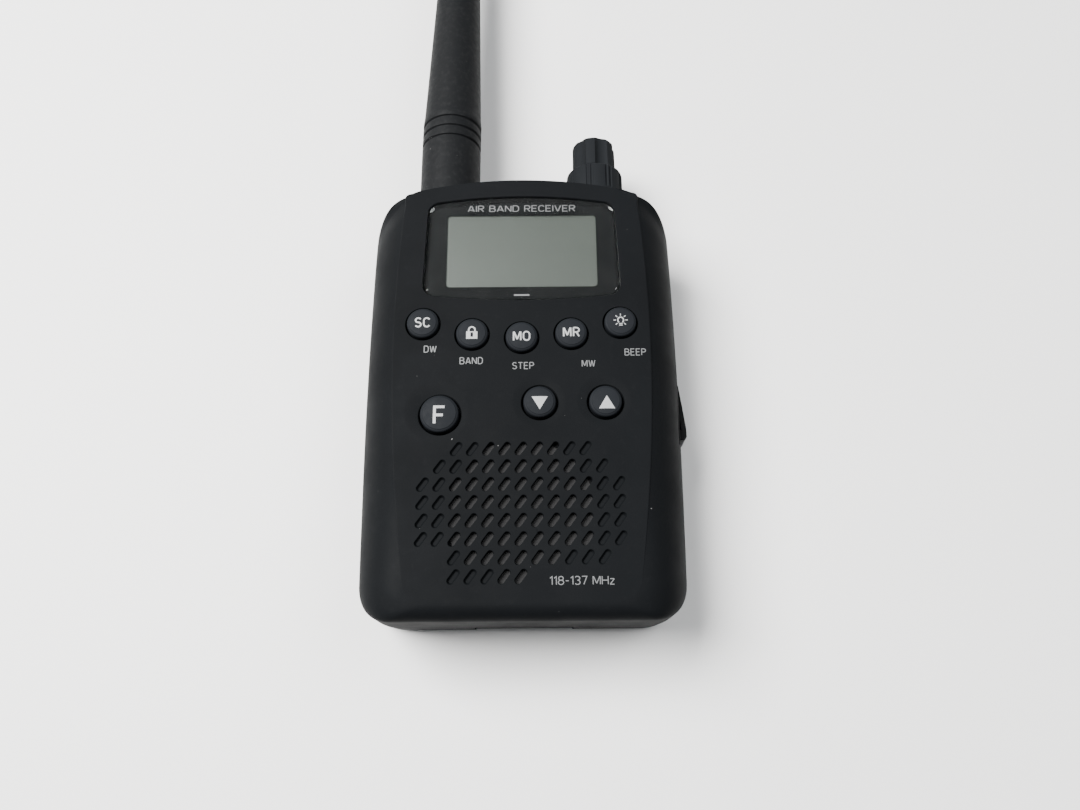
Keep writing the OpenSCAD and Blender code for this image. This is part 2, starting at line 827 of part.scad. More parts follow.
module speaker_frame() {
    color("silver") at_speaker() rotate_extrude() polygon([
        [magnet_r / 2, -basket_h], [basket_r, -basket_h], [speaker_r - rim_w, -rim_h], [speaker_r, -rim_h],
        [speaker_r, 0], [speaker_r - rim_w, 0], [speaker_r - rim_w, sheet_t - rim_h],
        [basket_r - sheet_t / 2, sheet_t - basket_h], [magnet_r / 2, sheet_t - basket_h]]);
}

module speaker_magnet() {
    color("#55585c") at_speaker() translate([0, 0, -basket_h - magnet_h])
        cylinder(r = magnet_r, h = magnet_h);
}

module speaker_cone() {
    color("#1b1c1e") at_speaker() rotate_extrude() polygon([
        [0, -cone_cap_z], [cone_cap_r, -cone_cap_z - sheet_t], [cone_root_r, -cone_h],
        [speaker_r - 2 * rim_w, -cone_edge_z - sheet_t], [speaker_r - rim_w - fit, -cone_edge_z],
        [speaker_r - rim_w - fit, cone_t - cone_edge_z],
        [speaker_r - 2 * rim_w, cone_t - cone_edge_z - sheet_t], [cone_root_r, cone_t - cone_h],
        [cone_cap_r, cone_t - cone_cap_z - sheet_t], [0, cone_t - cone_cap_z]]);
}

module speaker_leads() {
    lead_z = board_z - lead_drop;
    lead_y = board_bot_y + lead_in;
    color("firebrick") for (x = [-lead_x, lead_x]) {
        rod_y(x, lead_z, board_bot_y - lead_out, lead_y, lead_r);
        translate([x, lead_y, lead_z]) sphere(lead_r, $fn = 24);
        translate([x, lead_y, lead_z]) cylinder(r = lead_r, h = lead_drop);
    }
}

// ---------------------------------------------------------------- knobs

module control_body() {
    color("silver") difference() {
        union() {
            box(axis_x - control_w / 2, axis_x + control_w / 2, control_y, pad_in - fit,
                axis_z - control_h / 2, axis_z + control_h / 2);
            rod_y(axis_x, axis_z, control_y, pad_out + bushing_out, bushing_r);
            for (i = [-2:2]) translate([axis_x + control_pin_pitch * i, control_y + 4 * pin_wire_r, axis_z])
                cylinder(r = pin_wire_r, h = board_z - axis_z);
        }
        rod_y(axis_x, axis_z, control_y + ring_bore_y, far, ring_shaft_r + shaft_gap);
        rod_y(axis_x, axis_z, control_y + top_bore_y, far, top_shaft_r + shaft_gap);
    }
}

module control_nut() {
    color("silver") difference() {
        translate([axis_x, pad_out, axis_z]) rotate([-90, 0, 0])
            cylinder(r = knob_nut_r, h = knob_nut_h, $fn = 6);
        rod_y(axis_x, axis_z, pad_out - cut, pad_out + knob_nut_h + cut, bushing_r);
    }
}

module squelch_shaft() {
    color("silver") difference() {
        rod_y(axis_x, axis_z, control_y + ring_bore_y + clear, ring_y + ring_l - knob_top_t, ring_shaft_r);
        rod_y(axis_x, axis_z, control_y, far, top_shaft_r + shaft_gap);
    }
}

module volume_shaft() {
    color("silver")
        rod_y(axis_x, axis_z, control_y + top_bore_y + clear, top_y + top_l - knob_end_t, top_shaft_r);
}

module squelch_knob() {
    color("#2b2d30") difference() {
        rod_y(axis_x, axis_z, ring_y, ring_y + ring_l, ring_knob_d / 2);
        translate([axis_x, ring_y + ring_l - ring_flute_l, axis_z]) rotate([-90, 0, 0])
            for (i = [0:ring_ribs - 1]) rotate(i * 360 / ring_ribs)
                translate([ring_knob_d / 2 + clear, 0, 0])
                    cylinder(r = ring_flute_r, h = ring_flute_l + cut, $fn = 24);
        rod_y(axis_x, axis_z, ring_y - cut, ring_y + knob_bore_l, knob_nut_r + clear);
        rod_y(axis_x, axis_z, ring_y, ring_y + ring_l - knob_top_t, ring_shaft_r);
        rod_y(axis_x, axis_z, ring_y, far, top_shaft_r + 2 * fit);
    }
}

module volume_knob() {
    color("#2b2d30") difference() {
        rod_y(axis_x, axis_z, top_y, top_y + top_l, top_knob_d / 2);
        translate([axis_x, top_y, axis_z]) rotate([-90, 0, 0]) for (i = [0:lobes - 1])
            rotate((i + 0.5) * 360 / lobes) translate([top_knob_d / 2 + lobe_out, 0, lobe_start])
                cylinder(r = lobe_r, h = top_l, $fn = 32);
        rod_y(axis_x, axis_z, top_y - cut, top_y + top_l - knob_end_t, top_shaft_r);
    }
}

// ---------------------------------------------------------------- antenna socket

module antenna_socket() {
    color("gold") difference() {
        union() {
            rod_y(-axis_x, axis_z, pad_in - washer_t - flange_l, pad_in - washer_t, flange_r);
            rod_y(-axis_x, axis_z, pad_in - tail_l, pad_in, tail_r);
            rod_y(-axis_x, axis_z, pad_in - washer_t - flange_l, socket_end - barrel_l + eps, thread_r);
            rod_y(-axis_x, axis_z, socket_end - barrel_l, socket_end, socket_r);
            for (s = [-1, 1]) translate([-axis_x, socket_end - lug_drop, axis_z]) rotate([0, s * 90, 0])
                cylinder(r = lug_r, h = socket_r + lug_h);
        }
        rod_y(-axis_x, axis_z, socket_end - bore_l, far, socket_bore_r);
        rod_y(-axis_x, axis_z, pad_in - tail_l - cut, far, insulator_r);
    }
}

module socket_insulator() {
    color("white") difference() {
        rod_y(-axis_x, axis_z, pad_in - tail_l, socket_end - insulator_drop, insulator_r);
        rod_y(-axis_x, axis_z, pad_in - tail_l - cut, far, contact_r);
    }
}

module socket_contact() {
    color("gold") difference() {
        rod_y(-axis_x, axis_z, pad_in - contact_tail_l, socket_end - insulator_drop - 2 * fit, contact_r);
        rod_y(-axis_x, axis_z, socket_end - bore_l + fit, far, contact_bore_r);
    }
}

module socket_nut() {
    color("gold") difference() {
        translate([-axis_x, pad_out, axis_z]) rotate([-90, 0, 0])
            cylinder(r = socket_nut_r, h = socket_nut_h, $fn = 6);
        rod_y(-axis_x, axis_z, pad_out - cut, pad_out + socket_nut_h + cut, thread_r);
    }
}

module socket_washer() {
    color("silver") difference() {
        rod_y(-axis_x, axis_z, pad_in - washer_t, pad_in, flange_r + fit);
        rod_y(-axis_x, axis_z, pad_in - washer_t - cut, pad_in + cut, thread_r);
    }
}

module antenna_lead() {
    lead_z = axis_z + contact_r + 2 * eps;
    color("firebrick") translate([-axis_x, pad_in - contact_tail_l + lead_drop, lead_z])
        cylinder(r = lead_r, h = board_z - lead_z);
}

// ---------------------------------------------------------------- antenna

module around_antenna() {
    translate([-axis_x, 0, axis_z]) rotate([-90, 0, 0]) rotate_extrude() children();
}

module antenna_sleeve() {
    round_r = tip_round_r;
    tip_r = antenna_tip_d / 2;
    color("#2e3133") difference() {
        around_antenna() difference() {
            union() {
                polygon([[0, sleeve_y], [antenna_d / 2, sleeve_y], [antenna_d / 2, taper_y - cut],
                         [antenna_d / 2 - 2 * fit, taper_y], [tip_r, sleeve_tip - round_r],
                         [0, sleeve_tip - round_r]]);
                translate([0, sleeve_tip - round_r - eps]) square([tip_r - round_r, round_r + eps]);
                intersection() {
                    translate([tip_r - round_r, sleeve_tip - round_r]) circle(round_r);
                    translate([0, sleeve_tip - round_r - eps]) square([tip_r, round_r + eps]);
                }
            }
            for (i = [0:2])
                translate([antenna_d / 2 - groove_depth, groove_y + i * groove_pitch - groove_w / 2])
                square([2 * cut, groove_w]);
            translate([0, sleeve_y - cut]) square([collar_r, collar_l + cut + fit]);
            square([coil_r + coil_wire_r + clear, sleeve_tip - 2 * tip_round_r]);
        }
    }
}

module antenna_collar() {
    color("silver") around_antenna() difference() {
        translate([collar_bore_r, sleeve_y]) square([collar_r - collar_bore_r, collar_l]);
        translate([0, socket_end - lug_drop - lug_r - clear])
            square([socket_r + lug_h + fit / 2, 2 * (lug_r + clear)]);
    }
}

module antenna_plug() {
    color("silver") around_antenna() union() {
        translate([plug_bore_r, socket_end - plug_l]) square([plug_r - plug_bore_r, plug_l + plug_end + eps]);
        translate([disc_bore_r, socket_end + plug_end])
            square([collar_bore_r - disc_bore_r - thread_gap, disc_t]);
    }
}

module antenna_pin() {
    color("gold") around_antenna() union() {
        translate([0, socket_end - pin_l]) square([pin_r, pin_l + plug_end + eps]);
        translate([0, socket_end + plug_end]) square([disc_bore_r - thread_gap, pin_root_l]);
    }
}

module antenna_coil() {
    color("#b06a3a") translate([-axis_x, 0, axis_z])
        coil(socket_end + coil_end, sleeve_tip - coil_end, coil_r, coil_r, coil_wire_r, coil_turns);
}

// ---------------------------------------------------------------- jack and its cover

module jack_cover() {
    color("#131415") translate([hinge_x, hinge_y, axis_z]) rotate(cover_open) {
        translate([-cover_t / 2, -cover_l, -cover_h / 2]) cube([cover_t, cover_l, cover_h]);
        cylinder(r = cover_t / 2, h = cover_h, center = true);
        translate([-cover_t / 2 - cover_lip, -cover_l, -cover_h / 2 + lip_in])
            cube([cover_lip + fit, cover_lip_l, cover_h - 2 * lip_in]);
    }
}

module cover_anchor() {
    color("#131415") box(jack_x, half_w - clear - thread_gap, hinge_y + cover_t / 2 + fit, hinge_y + anchor_l,
        axis_z - cover_h / 2, axis_z + cover_h / 2);
}

module earphone_jack() {
    color("#1b1c1e") difference() {
        union() {
            box(jack_x - wall - fit - jack_body_l, jack_x - wall - fit, jack_y - jack_body_w / 2,
                jack_y + jack_body_w / 2, axis_z - jack_body_h / 2, axis_z + jack_body_h / 2);
            rod_x(jack_y, axis_z, jack_x - wall - 2 * fit, jack_x - fit, jack_r);
            for (s = [-1, 1]) translate([jack_x - 0.8 * jack_body_l, jack_y + s * jack_body_w / 3, axis_z])
                cylinder(r = pin_wire_r, h = board_z - axis_z);
        }
        rod_x(jack_y, axis_z, jack_x - fit - jack_bore_l, jack_x + cut, jack_bore_r);
    }
}

// ---------------------------------------------------------------- batteries

// An AA cell along Y with its nub at the far end
module cell() {
    rod_y(0, 0, 0, cell_l - nub_l, cell_d / 2);
    rod_y(0, 0, cell_l - nub_l - eps, cell_l, nub_r);
}

module left_cell() {
    color("#b5a642") translate([-cell_x, bay_y0 + fit + contact_t + spring_h, cell_z]) cell();
}

module right_cell() {
    color("#b5a642") translate([cell_x, bay_y0 + fit + contact_t + cell_l, cell_z])
        rotate([0, 0, 180]) cell();
}

module cell_springs() {
    wire = spring_wire_r;
    y0 = bay_y0 + fit + contact_t;
    y1 = bay_y0 + bay_l - fit - contact_t;
    color("silver") {
        translate([-cell_x, 0, cell_z])
            coil(y0 + wire, y0 + spring_h - wire, spring_wide_r, spring_narrow_r, wire, 2);
        translate([cell_x, 0, cell_z])
            coil(y0 + cell_l + wire, y1 - wire, spring_narrow_r, spring_wide_r, wire, 2);
    }
}

module bridge_contact() {
    color("silver") box(bay_wall - bay_w / 2, bay_w / 2 - bay_wall, bay_y0 + fit, bay_y0 + fit + contact_t,
        cell_z - contact_w / 2, cell_z + contact_w / 2);
}

module upper_contact(side) {
    y1 = bay_y0 + bay_l - fit;
    color("silver") translate([side * cell_x, 0, 0]) {
        box(-contact_w / 2, contact_w / 2, y1 - contact_t, y1,
            cell_z - contact_w / 2, cell_z + contact_w / 2);
        box(-contact_tail_w / 2, contact_tail_w / 2, y1 - contact_t, y1,
            cell_z + contact_w / 2 - eps, board_z);
    }
}

module plus_contact() { upper_contact(-1); }
module minus_contact() { upper_contact(1); }

// ---------------------------------------------------------------- nodes

front_case();
rear_case();
battery_door();
case_screws();
display_lens();
lcd_glass();
display_holder();
backlight_panel();
contact_strips();
main_board();
board_screws();
rf_shield();
chips();
filter_cans();
capacitors();
dome_switches();
keypad_mat();
scan_key();
lock_key();
monitor_key();
recall_key();
lamp_key();
function_key();
down_key();
up_key();
speaker_cloth();
speaker_frame();
speaker_magnet();
speaker_cone();
speaker_leads();
control_body();
control_nut();
volume_shaft();
squelch_shaft();
volume_knob();
squelch_knob();
antenna_socket();
socket_insulator();
socket_contact();
socket_nut();
socket_washer();
antenna_lead();
antenna_sleeve();
antenna_collar();
antenna_plug();
antenna_pin();
antenna_coil();
jack_cover();
cover_anchor();
earphone_jack();
left_cell();
right_cell();
cell_springs();
bridge_contact();
plus_contact();
minus_contact();
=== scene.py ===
"""Looks of a handheld airband receiver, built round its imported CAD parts.

The radio lies on its back: X to the right, Y towards the antenna, Z out of the front face. Sizes in this
script are in millimetres unless a name says otherwise, and meshes are made in metres.
"""

import json
import logging
import math
from dataclasses import dataclass
from enum import Enum
from typing import Callable, Dict, List, Optional, Sequence, Tuple

import bpy
import numpy as np
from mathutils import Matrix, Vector

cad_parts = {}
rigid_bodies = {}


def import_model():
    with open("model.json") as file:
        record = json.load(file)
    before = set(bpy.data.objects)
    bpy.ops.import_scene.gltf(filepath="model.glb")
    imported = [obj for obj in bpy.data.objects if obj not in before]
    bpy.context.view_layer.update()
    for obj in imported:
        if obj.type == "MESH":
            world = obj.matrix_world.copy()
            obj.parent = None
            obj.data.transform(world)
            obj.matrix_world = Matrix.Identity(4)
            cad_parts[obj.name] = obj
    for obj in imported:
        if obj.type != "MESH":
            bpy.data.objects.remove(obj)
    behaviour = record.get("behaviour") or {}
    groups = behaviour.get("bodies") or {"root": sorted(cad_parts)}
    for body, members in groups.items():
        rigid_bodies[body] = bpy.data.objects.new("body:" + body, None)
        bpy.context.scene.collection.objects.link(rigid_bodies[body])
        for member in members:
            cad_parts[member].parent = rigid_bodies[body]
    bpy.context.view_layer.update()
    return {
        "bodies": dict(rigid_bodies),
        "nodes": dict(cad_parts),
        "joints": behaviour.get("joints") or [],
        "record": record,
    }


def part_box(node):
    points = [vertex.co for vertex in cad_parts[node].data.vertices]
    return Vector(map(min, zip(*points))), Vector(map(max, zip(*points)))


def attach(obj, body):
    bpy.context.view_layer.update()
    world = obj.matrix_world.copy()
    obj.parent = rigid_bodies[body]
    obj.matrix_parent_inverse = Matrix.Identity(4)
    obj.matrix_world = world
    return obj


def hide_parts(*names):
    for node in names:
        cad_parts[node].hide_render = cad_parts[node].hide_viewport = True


MM = 0.001
LOG = logging.getLogger("radio")
Flat = Tuple[float, float]
Colour = Tuple[float, float, float]
Points = np.ndarray
Piece = bpy.types.Object
Socket = bpy.types.NodeSocket


class Op(Enum):
    """Boolean operations between two solids."""

    CUT = "DIFFERENCE"
    ADD = "UNION"
    KEEP = "INTERSECT"


class Side(Enum):
    """The two sides of the case, as signs along X."""

    LEFT = -1
    RIGHT = 1


# ---------------------------------------------------------------- places taken from the CAD frame


def low(node: str) -> Points:
    """Lowest corner of a CAD node, in millimetres."""
    return np.array(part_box(node)[0]) / MM


def high(node: str) -> Points:
    """Highest corner of a CAD node, in millimetres."""
    return np.array(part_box(node)[1]) / MM


def middle(node: str) -> Points:
    """Middle of a CAD node's box, in millimetres."""
    return (low(node) + high(node)) / 2


def middle_in_plan(node: str) -> Flat:
    """X and Y of a CAD node's middle, in millimetres."""
    x, y, _ = middle(node)
    return float(x), float(y)


def middle_along_y(node: str) -> Flat:
    """X and Z of a CAD node's middle, in millimetres, as the axis of a part turned along Y."""
    x, _, z = middle(node)
    return float(x), float(z)


# ---------------------------------------------------------------- meshes


class Shape:
    """Vertices and faces of one or more closed solids, in millimetres."""

    def __init__(self) -> None:
        """Starts an empty shape."""
        self.verts: List[Sequence[float]] = []
        self.faces: List[Sequence[int]] = []

    def ring(self, points: Points) -> List[int]:
        """Adds a loop of points.

        Args:
            points: the loop's points, one row of x, y, z for each.

        Returns:
            The indices of the new vertices.
        """
        start = len(self.verts)
        self.verts.extend(points.tolist())
        return list(range(start, len(self.verts)))

    def bridge(self, one: Sequence[int], two: Sequence[int]) -> None:
        """Joins two loops of equal length with quads."""
        count = len(one)
        for i in range(count):
            j = (i + 1) % count
            self.faces.append((one[i], one[j], two[j], two[i]))

    @classmethod
    def loft(cls, rings: Sequence[Points], closed: bool = False) -> "Shape":
        """A solid whose skin runs through a list of loops.

        Args:
            rings: loops of equal length, counter-clockwise seen from where the list ends.
            closed: joins the last loop to the first in place of capping both ends.

        Returns:
            The solid.
        """
        shape = cls()
        loops = [shape.ring(points) for points in rings]
        for one, two in zip(loops, loops[1:]):
            shape.bridge(one, two)
        if closed:
            shape.bridge(loops[-1], loops[0])
        else:
            shape.faces.append(tuple(reversed(loops[0])))
            shape.faces.append(tuple(loops[-1]))
        return shape

    def add(self, other: "Shape") -> "Shape":
        """Adds another shape's solids to this one and returns it."""
        start = len(self.verts)
        self.verts.extend(other.verts)
        self.faces.extend(tuple(i + start for i in face) for face in other.faces)
        return self

    def mapped(self, rule: Callable[[Points], Points]) -> "Shape":
        """This shape with a rule applied to all its points at once."""
        self.verts = rule(np.array(self.verts, float)).tolist()
        return self

    def to_object(self, name: str) -> Piece:
        """Makes the mesh object, in metres.

        Args:
            name: the object's name.

        Returns:
            The new object, linked to the scene.
        """
        mesh = bpy.data.meshes.new(name)
        mesh.from_pydata((np.array(self.verts, float) * MM).tolist(), [], [tuple(f) for f in self.faces])
        mesh.validate()
        mesh.update()
        made = bpy.data.objects.new(name, mesh)
        bpy.context.scene.collection.objects.link(made)
        return made


def flat_ring(outline: Points, z: float) -> Points:
    """A plan outline lifted to one height."""
    return np.column_stack([outline, np.full(len(outline), z)])


def circle(radius: float, centre: Flat = (0.0, 0.0), count: int = 64) -> Points:
    """Points of a circle in plan, counter-clockwise."""
    turn = np.linspace(0, 2 * math.pi, count, endpoint=False)
    return np.column_stack([centre[0] + radius * np.cos(turn), centre[1] + radius * np.sin(turn)])


def rounded_rect(
    width: float, length: float, radius: float, centre: Flat = (0.0, 0.0), steps: int = 8
) -> Points:
    """Points of a rounded rectangle in plan, counter-clockwise."""
    points = []
    for quarter, (sx, sy) in enumerate(((1, 1), (-1, 1), (-1, -1), (1, -1))):
        for a in np.linspace(0, math.pi / 2, steps) + quarter * math.pi / 2:
            x = centre[0] + sx * (width / 2 - radius) + radius * math.cos(a)
            points.append((x, centre[1] + sy * (length / 2 - radius) + radius * math.sin(a)))
    return np.array(points)


def grown(outline: Points, amount: object) -> Points:
    """A convex plan outline moved outwards along its normals, by one amount or one for each point."""
    ahead = np.roll(outline, -1, axis=0) - np.roll(outline, 1, axis=0)
    normal = np.column_stack([ahead[:, 1], -ahead[:, 0]])
    normal /= np.linalg.norm(normal, axis=1)[:, None]
    return outline + normal * np.broadcast_to(np.asarray(amount, float), len(outline))[:, None]


def prism(outline: Points, heights: Sequence[Tuple[float, float]]) -> Shape:
    """A solid with one plan outline, grown by an amount at each height.

    Args:
        outline: the plan outline, counter-clockwise.
        heights: pairs of height and growth, from the bottom up.

    Returns:
        The solid.
    """
    return Shape.loft([flat_ring(grown(outline, amount), z) for z, amount in heights])


def block(corner: Sequence[float], opposite: Sequence[float], radius: float = 0.0) -> Shape:
    """A box between two corners, with upright edges rounded if a radius is given."""
    width, length = opposite[0] - corner[0], opposite[1] - corner[1]
    centre = (corner[0] + width / 2, corner[1] + length / 2)
    outline = rounded_rect(width, length, max(radius, 1e-4), centre, 6 if radius else 1)
    return prism(outline, [(corner[2], 0.0), (opposite[2], 0.0)])


def lathe(profile: Sequence[Flat], axis: Flat, count: int = 96, closed: bool = False) -> Shape:
    """A solid of revolution about a line along Y.

    Args:
        profile: pairs of radius and y, in order of rising y along the outer skin.
        axis: x and z of the line.
        count: points round each loop.
        closed: the profile is a loop, as for a tube.

    Returns:
        The solid.
    """
    turn = np.linspace(0, 2 * math.pi, count, endpoint=False)
    rings = []
    for radius, y in profile:
        x = axis[0] + radius * np.sin(turn)
        rings.append(np.column_stack([x, np.full(count, y), axis[1] + radius * np.cos(turn)]))
    return Shape.loft(rings, closed)


def turned(profile: Sequence[Flat], centre: Flat, count: int = 72) -> Shape:
    """A solid of revolution about an upright line.

    Args:
        profile: pairs of radius and height, from the bottom up.
        centre: x and y of the line.
        count: points round each loop.

    Returns:
        The solid.
    """
    return Shape.loft([flat_ring(circle(max(radius, 0.01), centre, count), z) for radius, z in profile])


def arc(centre: Flat, radius: float, start: float, end: float, steps: int) -> List[Flat]:
    """Points of an arc between two angles in degrees."""
    turn = np.radians(np.linspace(start, end, steps))
    return [(centre[0] + radius * math.cos(a), centre[1] + radius * math.sin(a)) for a in turn]


def applied(target: Piece) -> Piece:
    """Bakes an object's modifiers into its mesh and returns the object."""
    graph = bpy.context.evaluated_depsgraph_get()
    baked = bpy.data.meshes.new_from_object(target.evaluated_get(graph))
    old = target.data
    target.modifiers.clear()
    target.data = baked
    baked.name = target.name
    bpy.data.meshes.remove(old)
    return target


def carve(target: Piece, *tools: Shape, op: Op = Op.CUT) -> Piece:
    """Cuts, adds or keeps shapes in an object, one after the other.

    Args:
        target: the object to change.
        tools: the other solids.
        op: what to do with them.

    Returns:
        The changed object.
    """
    for tool in tools:
        helper = tool.to_object("tool")
        mod = target.modifiers.new("carve", "BOOLEAN")
        mod.object = helper
        mod.operation = op.value
        mod.solver = "EXACT"
        applied(target)
        bpy.data.objects.remove(helper, do_unlink=True)
        if not target.data.polygons:
            raise ValueError(f"{target.name} is empty after a cut")
    return target


def smooth(target: Piece, angle: float = 32.0, weighted: bool = True) -> Piece:
    """Shades an object smoothly, with hard edges past an angle.

    Args:
        target: the object.
        angle: the hard-edge angle in degrees.
        weighted: large flat faces keep their own direction at their edges.

    Returns:
        The object.
    """
    target.data.shade_smooth()
    target.data.set_sharp_from_angle(angle=math.radians(angle))
    if weighted:
        mod = target.modifiers.new("weighted", "WEIGHTED_NORMAL")
        mod.keep_sharp = True
        mod.weight = 60
    return target


def bevelled(target: Piece, width: float, segments: int = 3, angle: float = 35.0) -> Piece:
    """Rounds an object's hard edges and bakes the result.

    Args:
        target: the object.
        width: the rounding, in millimetres.
        segments: faces across each rounding.
        angle: only edges sharper than this, in degrees.

    Returns:
        The object.
    """
    mod = target.modifiers.new("edge", "BEVEL")
    mod.width = width * MM
    mod.segments = segments
    mod.limit_method = "ANGLE"
    mod.angle_limit = math.radians(angle)
    mod.use_clamp_overlap = True
    return applied(target)


def ribbon(path: Sequence[Flat], width: object, level: float = 0.0) -> Shape:
    """A thin printed stroke along a path, cut into short lengths so that it can follow a curved top.

    Args:
        path: the stroke's middle line; a loop if it ends where it starts.
        width: the stroke's width, or one width at the start and one at the end.
        level: height of the stroke's top.

    Returns:
        The stroke as a thin solid.
    """
    points = [np.array(path[0], float)]
    for corner in path[1:]:
        start, end = points[-1], np.array(corner, float)
        count = max(1, math.ceil(np.linalg.norm(end - start) / 0.4))
        points += [start + (end - start) * k / count for k in range(1, count + 1)]
    line = np.array(points)
    loop = bool(np.linalg.norm(line[0] - line[-1]) < 1e-6)
    if loop:
        line = line[:-1]
    ahead = np.roll(line, -1, axis=0) - line
    behind = line - np.roll(line, 1, axis=0)
    if not loop:
        ahead[-1], behind[0] = behind[-1], ahead[0]
    ahead /= np.linalg.norm(ahead, axis=1)[:, None]
    behind /= np.linalg.norm(behind, axis=1)[:, None]
    along = (ahead + behind) / np.linalg.norm(ahead + behind, axis=1)[:, None]
    mitre = 1 / np.clip(np.sum(along * ahead, axis=1), 0.6, 1.0)
    reach = np.linspace(*np.broadcast_to(width, 2), len(line)) / 2 * mitre
    across = np.column_stack([along[:, 1], -along[:, 0]]) * reach[:, None]
    cells = max(1, math.ceil(float(reach.max()) / 0.25))
    rings = []
    for spot, out in zip(line, across):
        rows = [(*(spot + out), level - 0.05), (*(spot - out), level - 0.05)]
        rows += [(*(spot + out * t), level) for t in np.linspace(-1, 1, cells + 1)]
        rings.append(np.array(rows))
    return Shape.loft(rings, loop)


def bow(centre: Flat, size: Flat, start: float, end: float, steps: int = 10) -> List[Flat]:
    """Points of an oval arc between two angles in degrees."""
    turn = arc((0.0, 0.0), 1.0, start, end, steps)
    return [(centre[0] + size[0] * x, centre[1] + size[1] * y) for x, y in turn]


def turning(degrees: float) -> Points:
    """The matrix that turns rows of points counter-clockwise in plan."""
    a = math.radians(degrees)
    return np.array([[math.cos(a), math.sin(a)], [-math.sin(a), math.cos(a)]])


class Letters:
    """Plain capitals and figures drawn with strokes of even width, in a box of height one."""

    LAYER = 0.0012  # how much higher each stroke of a letter lies than the one before it
    BOWL = bow((0.3, 0.74), (0.27, 0.26), 90, -90)
    STEM = [(0.0, 0.0), (0.0, 1.0)]
    CUP = bow((0.3, 0.66), (0.3, 0.34), 30, 180) + bow((0.3, 0.34), (0.3, 0.34), 180, 330)
    SHAPES: Dict[str, List[List[Flat]]] = {
        " ": [],
        "-": [[(0.0, 0.46), (0.32, 0.46)]],
        "1": [[(0.0, 0.78), (0.22, 1.0), (0.22, 0.0)]],
        "3": [bow((0.25, 0.76), (0.25, 0.24), 150, -90), bow((0.25, 0.26), (0.27, 0.26), 90, -150)],
        "7": [[(0.0, 1.0), (0.5, 1.0), (0.17, 0.0)]],
        "8": [
            bow((0.27, 0.76), (0.23, 0.24), 0, 360, 20),
            bow((0.27, 0.27), (0.27, 0.27), 0, 360, 20),
        ],
        "A": [[(0.0, 0.0), (0.3, 1.0)], [(0.36, 1.0), (0.66, 0.0)], [(0.12, 0.28), (0.54, 0.28)]],
        "B": [
            STEM,
            [(0.0, 1.0)] + bow((0.32, 0.77), (0.23, 0.23), 90, -90) + [(0.0, 0.54)],
            [(0.2, 0.54)] + bow((0.34, 0.27), (0.26, 0.27), 90, -90) + [(0.0, 0.0)],
        ],
        "C": [CUP],
        "D": [
            STEM,
            [(0.0, 1.0)] + bow((0.28, 0.64), (0.32, 0.36), 90, 0)
            + bow((0.28, 0.36), (0.32, 0.36), 0, -90) + [(0.0, 0.0)],
        ],
        "E": [[(0.52, 1.0), (0.0, 1.0), (0.0, 0.0), (0.52, 0.0)], [(0.0, 0.52), (0.46, 0.52)]],
        "F": [[(0.55, 1.0), (0.0, 1.0), (0.0, 0.0)], [(0.0, 0.5), (0.47, 0.5)]],
        "H": [STEM, [(0.6, 0.0), (0.6, 1.0)], [(0.0, 0.5), (0.6, 0.5)]],
        "I": [STEM],
        "M": [STEM, [(0.04, 1.0), (0.36, 0.12)], [(0.36, 0.12), (0.68, 1.0)], [(0.72, 1.0), (0.72, 0.0)]],
        "N": [STEM, [(0.02, 1.0), (0.58, 0.0)], [(0.6, 0.0), (0.6, 1.0)]],
        "O": [
            bow((0.31, 0.66), (0.31, 0.34), 0, 180) + bow((0.31, 0.34), (0.31, 0.34), 180, 360)
            + [(0.62, 0.66)],
        ],
        "P": [STEM, [(0.0, 1.0)] + BOWL + [(0.0, 0.48)]],
        "R": [STEM, [(0.0, 1.0)] + BOWL + [(0.0, 0.48)], [(0.28, 0.48), (0.56, 0.0)]],
        "S": [bow((0.28, 0.75), (0.27, 0.25), 25, 265) + bow((0.28, 0.25), (0.28, 0.25), 85, -155)],
        "T": [[(0.0, 1.0), (0.6, 1.0)], [(0.3, 1.0), (0.3, 0.0)]],
        "V": [[(0.0, 1.0), (0.29, 0.0)], [(0.33, 0.0), (0.62, 1.0)]],
        "W": [
            [(0.0, 1.0), (0.2, 0.0)],
            [(0.22, 0.0), (0.42, 0.95)],
            [(0.44, 0.95), (0.64, 0.0)],
            [(0.66, 0.0), (0.86, 1.0)],
        ],
        "z": [[(0.0, 0.68), (0.42, 0.68)], [(0.42, 0.66), (0.0, 0.02)], [(0.0, 0.0), (0.42, 0.0)]],
    }

    @classmethod
    def write(cls, text: str, size: float, stroke: float, squeeze: float = 1.0) -> Shape:
        """One line of letters, centred on the origin with its top near height zero.

        Args:
            text: what to write.
            size: capital height.
            stroke: stroke width.
            squeeze: width factor.

        Returns:
            The letters as thin solids.
        """
        shape = Shape()
        tall, gap = size - stroke, stroke * 1.15 + 0.09 * size
        pen = 0.0
        for letter in text:
            strokes = cls.SHAPES[letter]
            width = max((x for path in strokes for x, _ in path), default=0.22) * size * squeeze
            for order, path in enumerate(strokes):
                drawn = [(pen + x * size * squeeze, (y - 0.5) * tall) for x, y in path]
                shape.add(ribbon(drawn, stroke, cls.LAYER * (order + 1)))
            pen += width + gap
        shift = (pen - gap) / 2
        return shape.mapped(lambda p: p - (shift, 0.0, 0.0))


def dressed(
    target: Piece,
    material: bpy.types.Material,
    body: str,
    replaces: Sequence[str] = (),
) -> Piece:
    """Gives a piece its material and its body, and hides the CAD nodes that it stands for.

    Args:
        target: the piece.
        material: its finish.
        body: the CAD body that it moves with.
        replaces: CAD nodes that aren't shown any more.

    Returns:
        The piece.
    """
    target.data.materials.clear()
    target.data.materials.append(material)
    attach(target, body)
    if replaces:
        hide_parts(*replaces)
    LOG.info("%s rides on %s with %d faces", target.name, body, len(target.data.polygons))
    return target


# ---------------------------------------------------------------- finishes


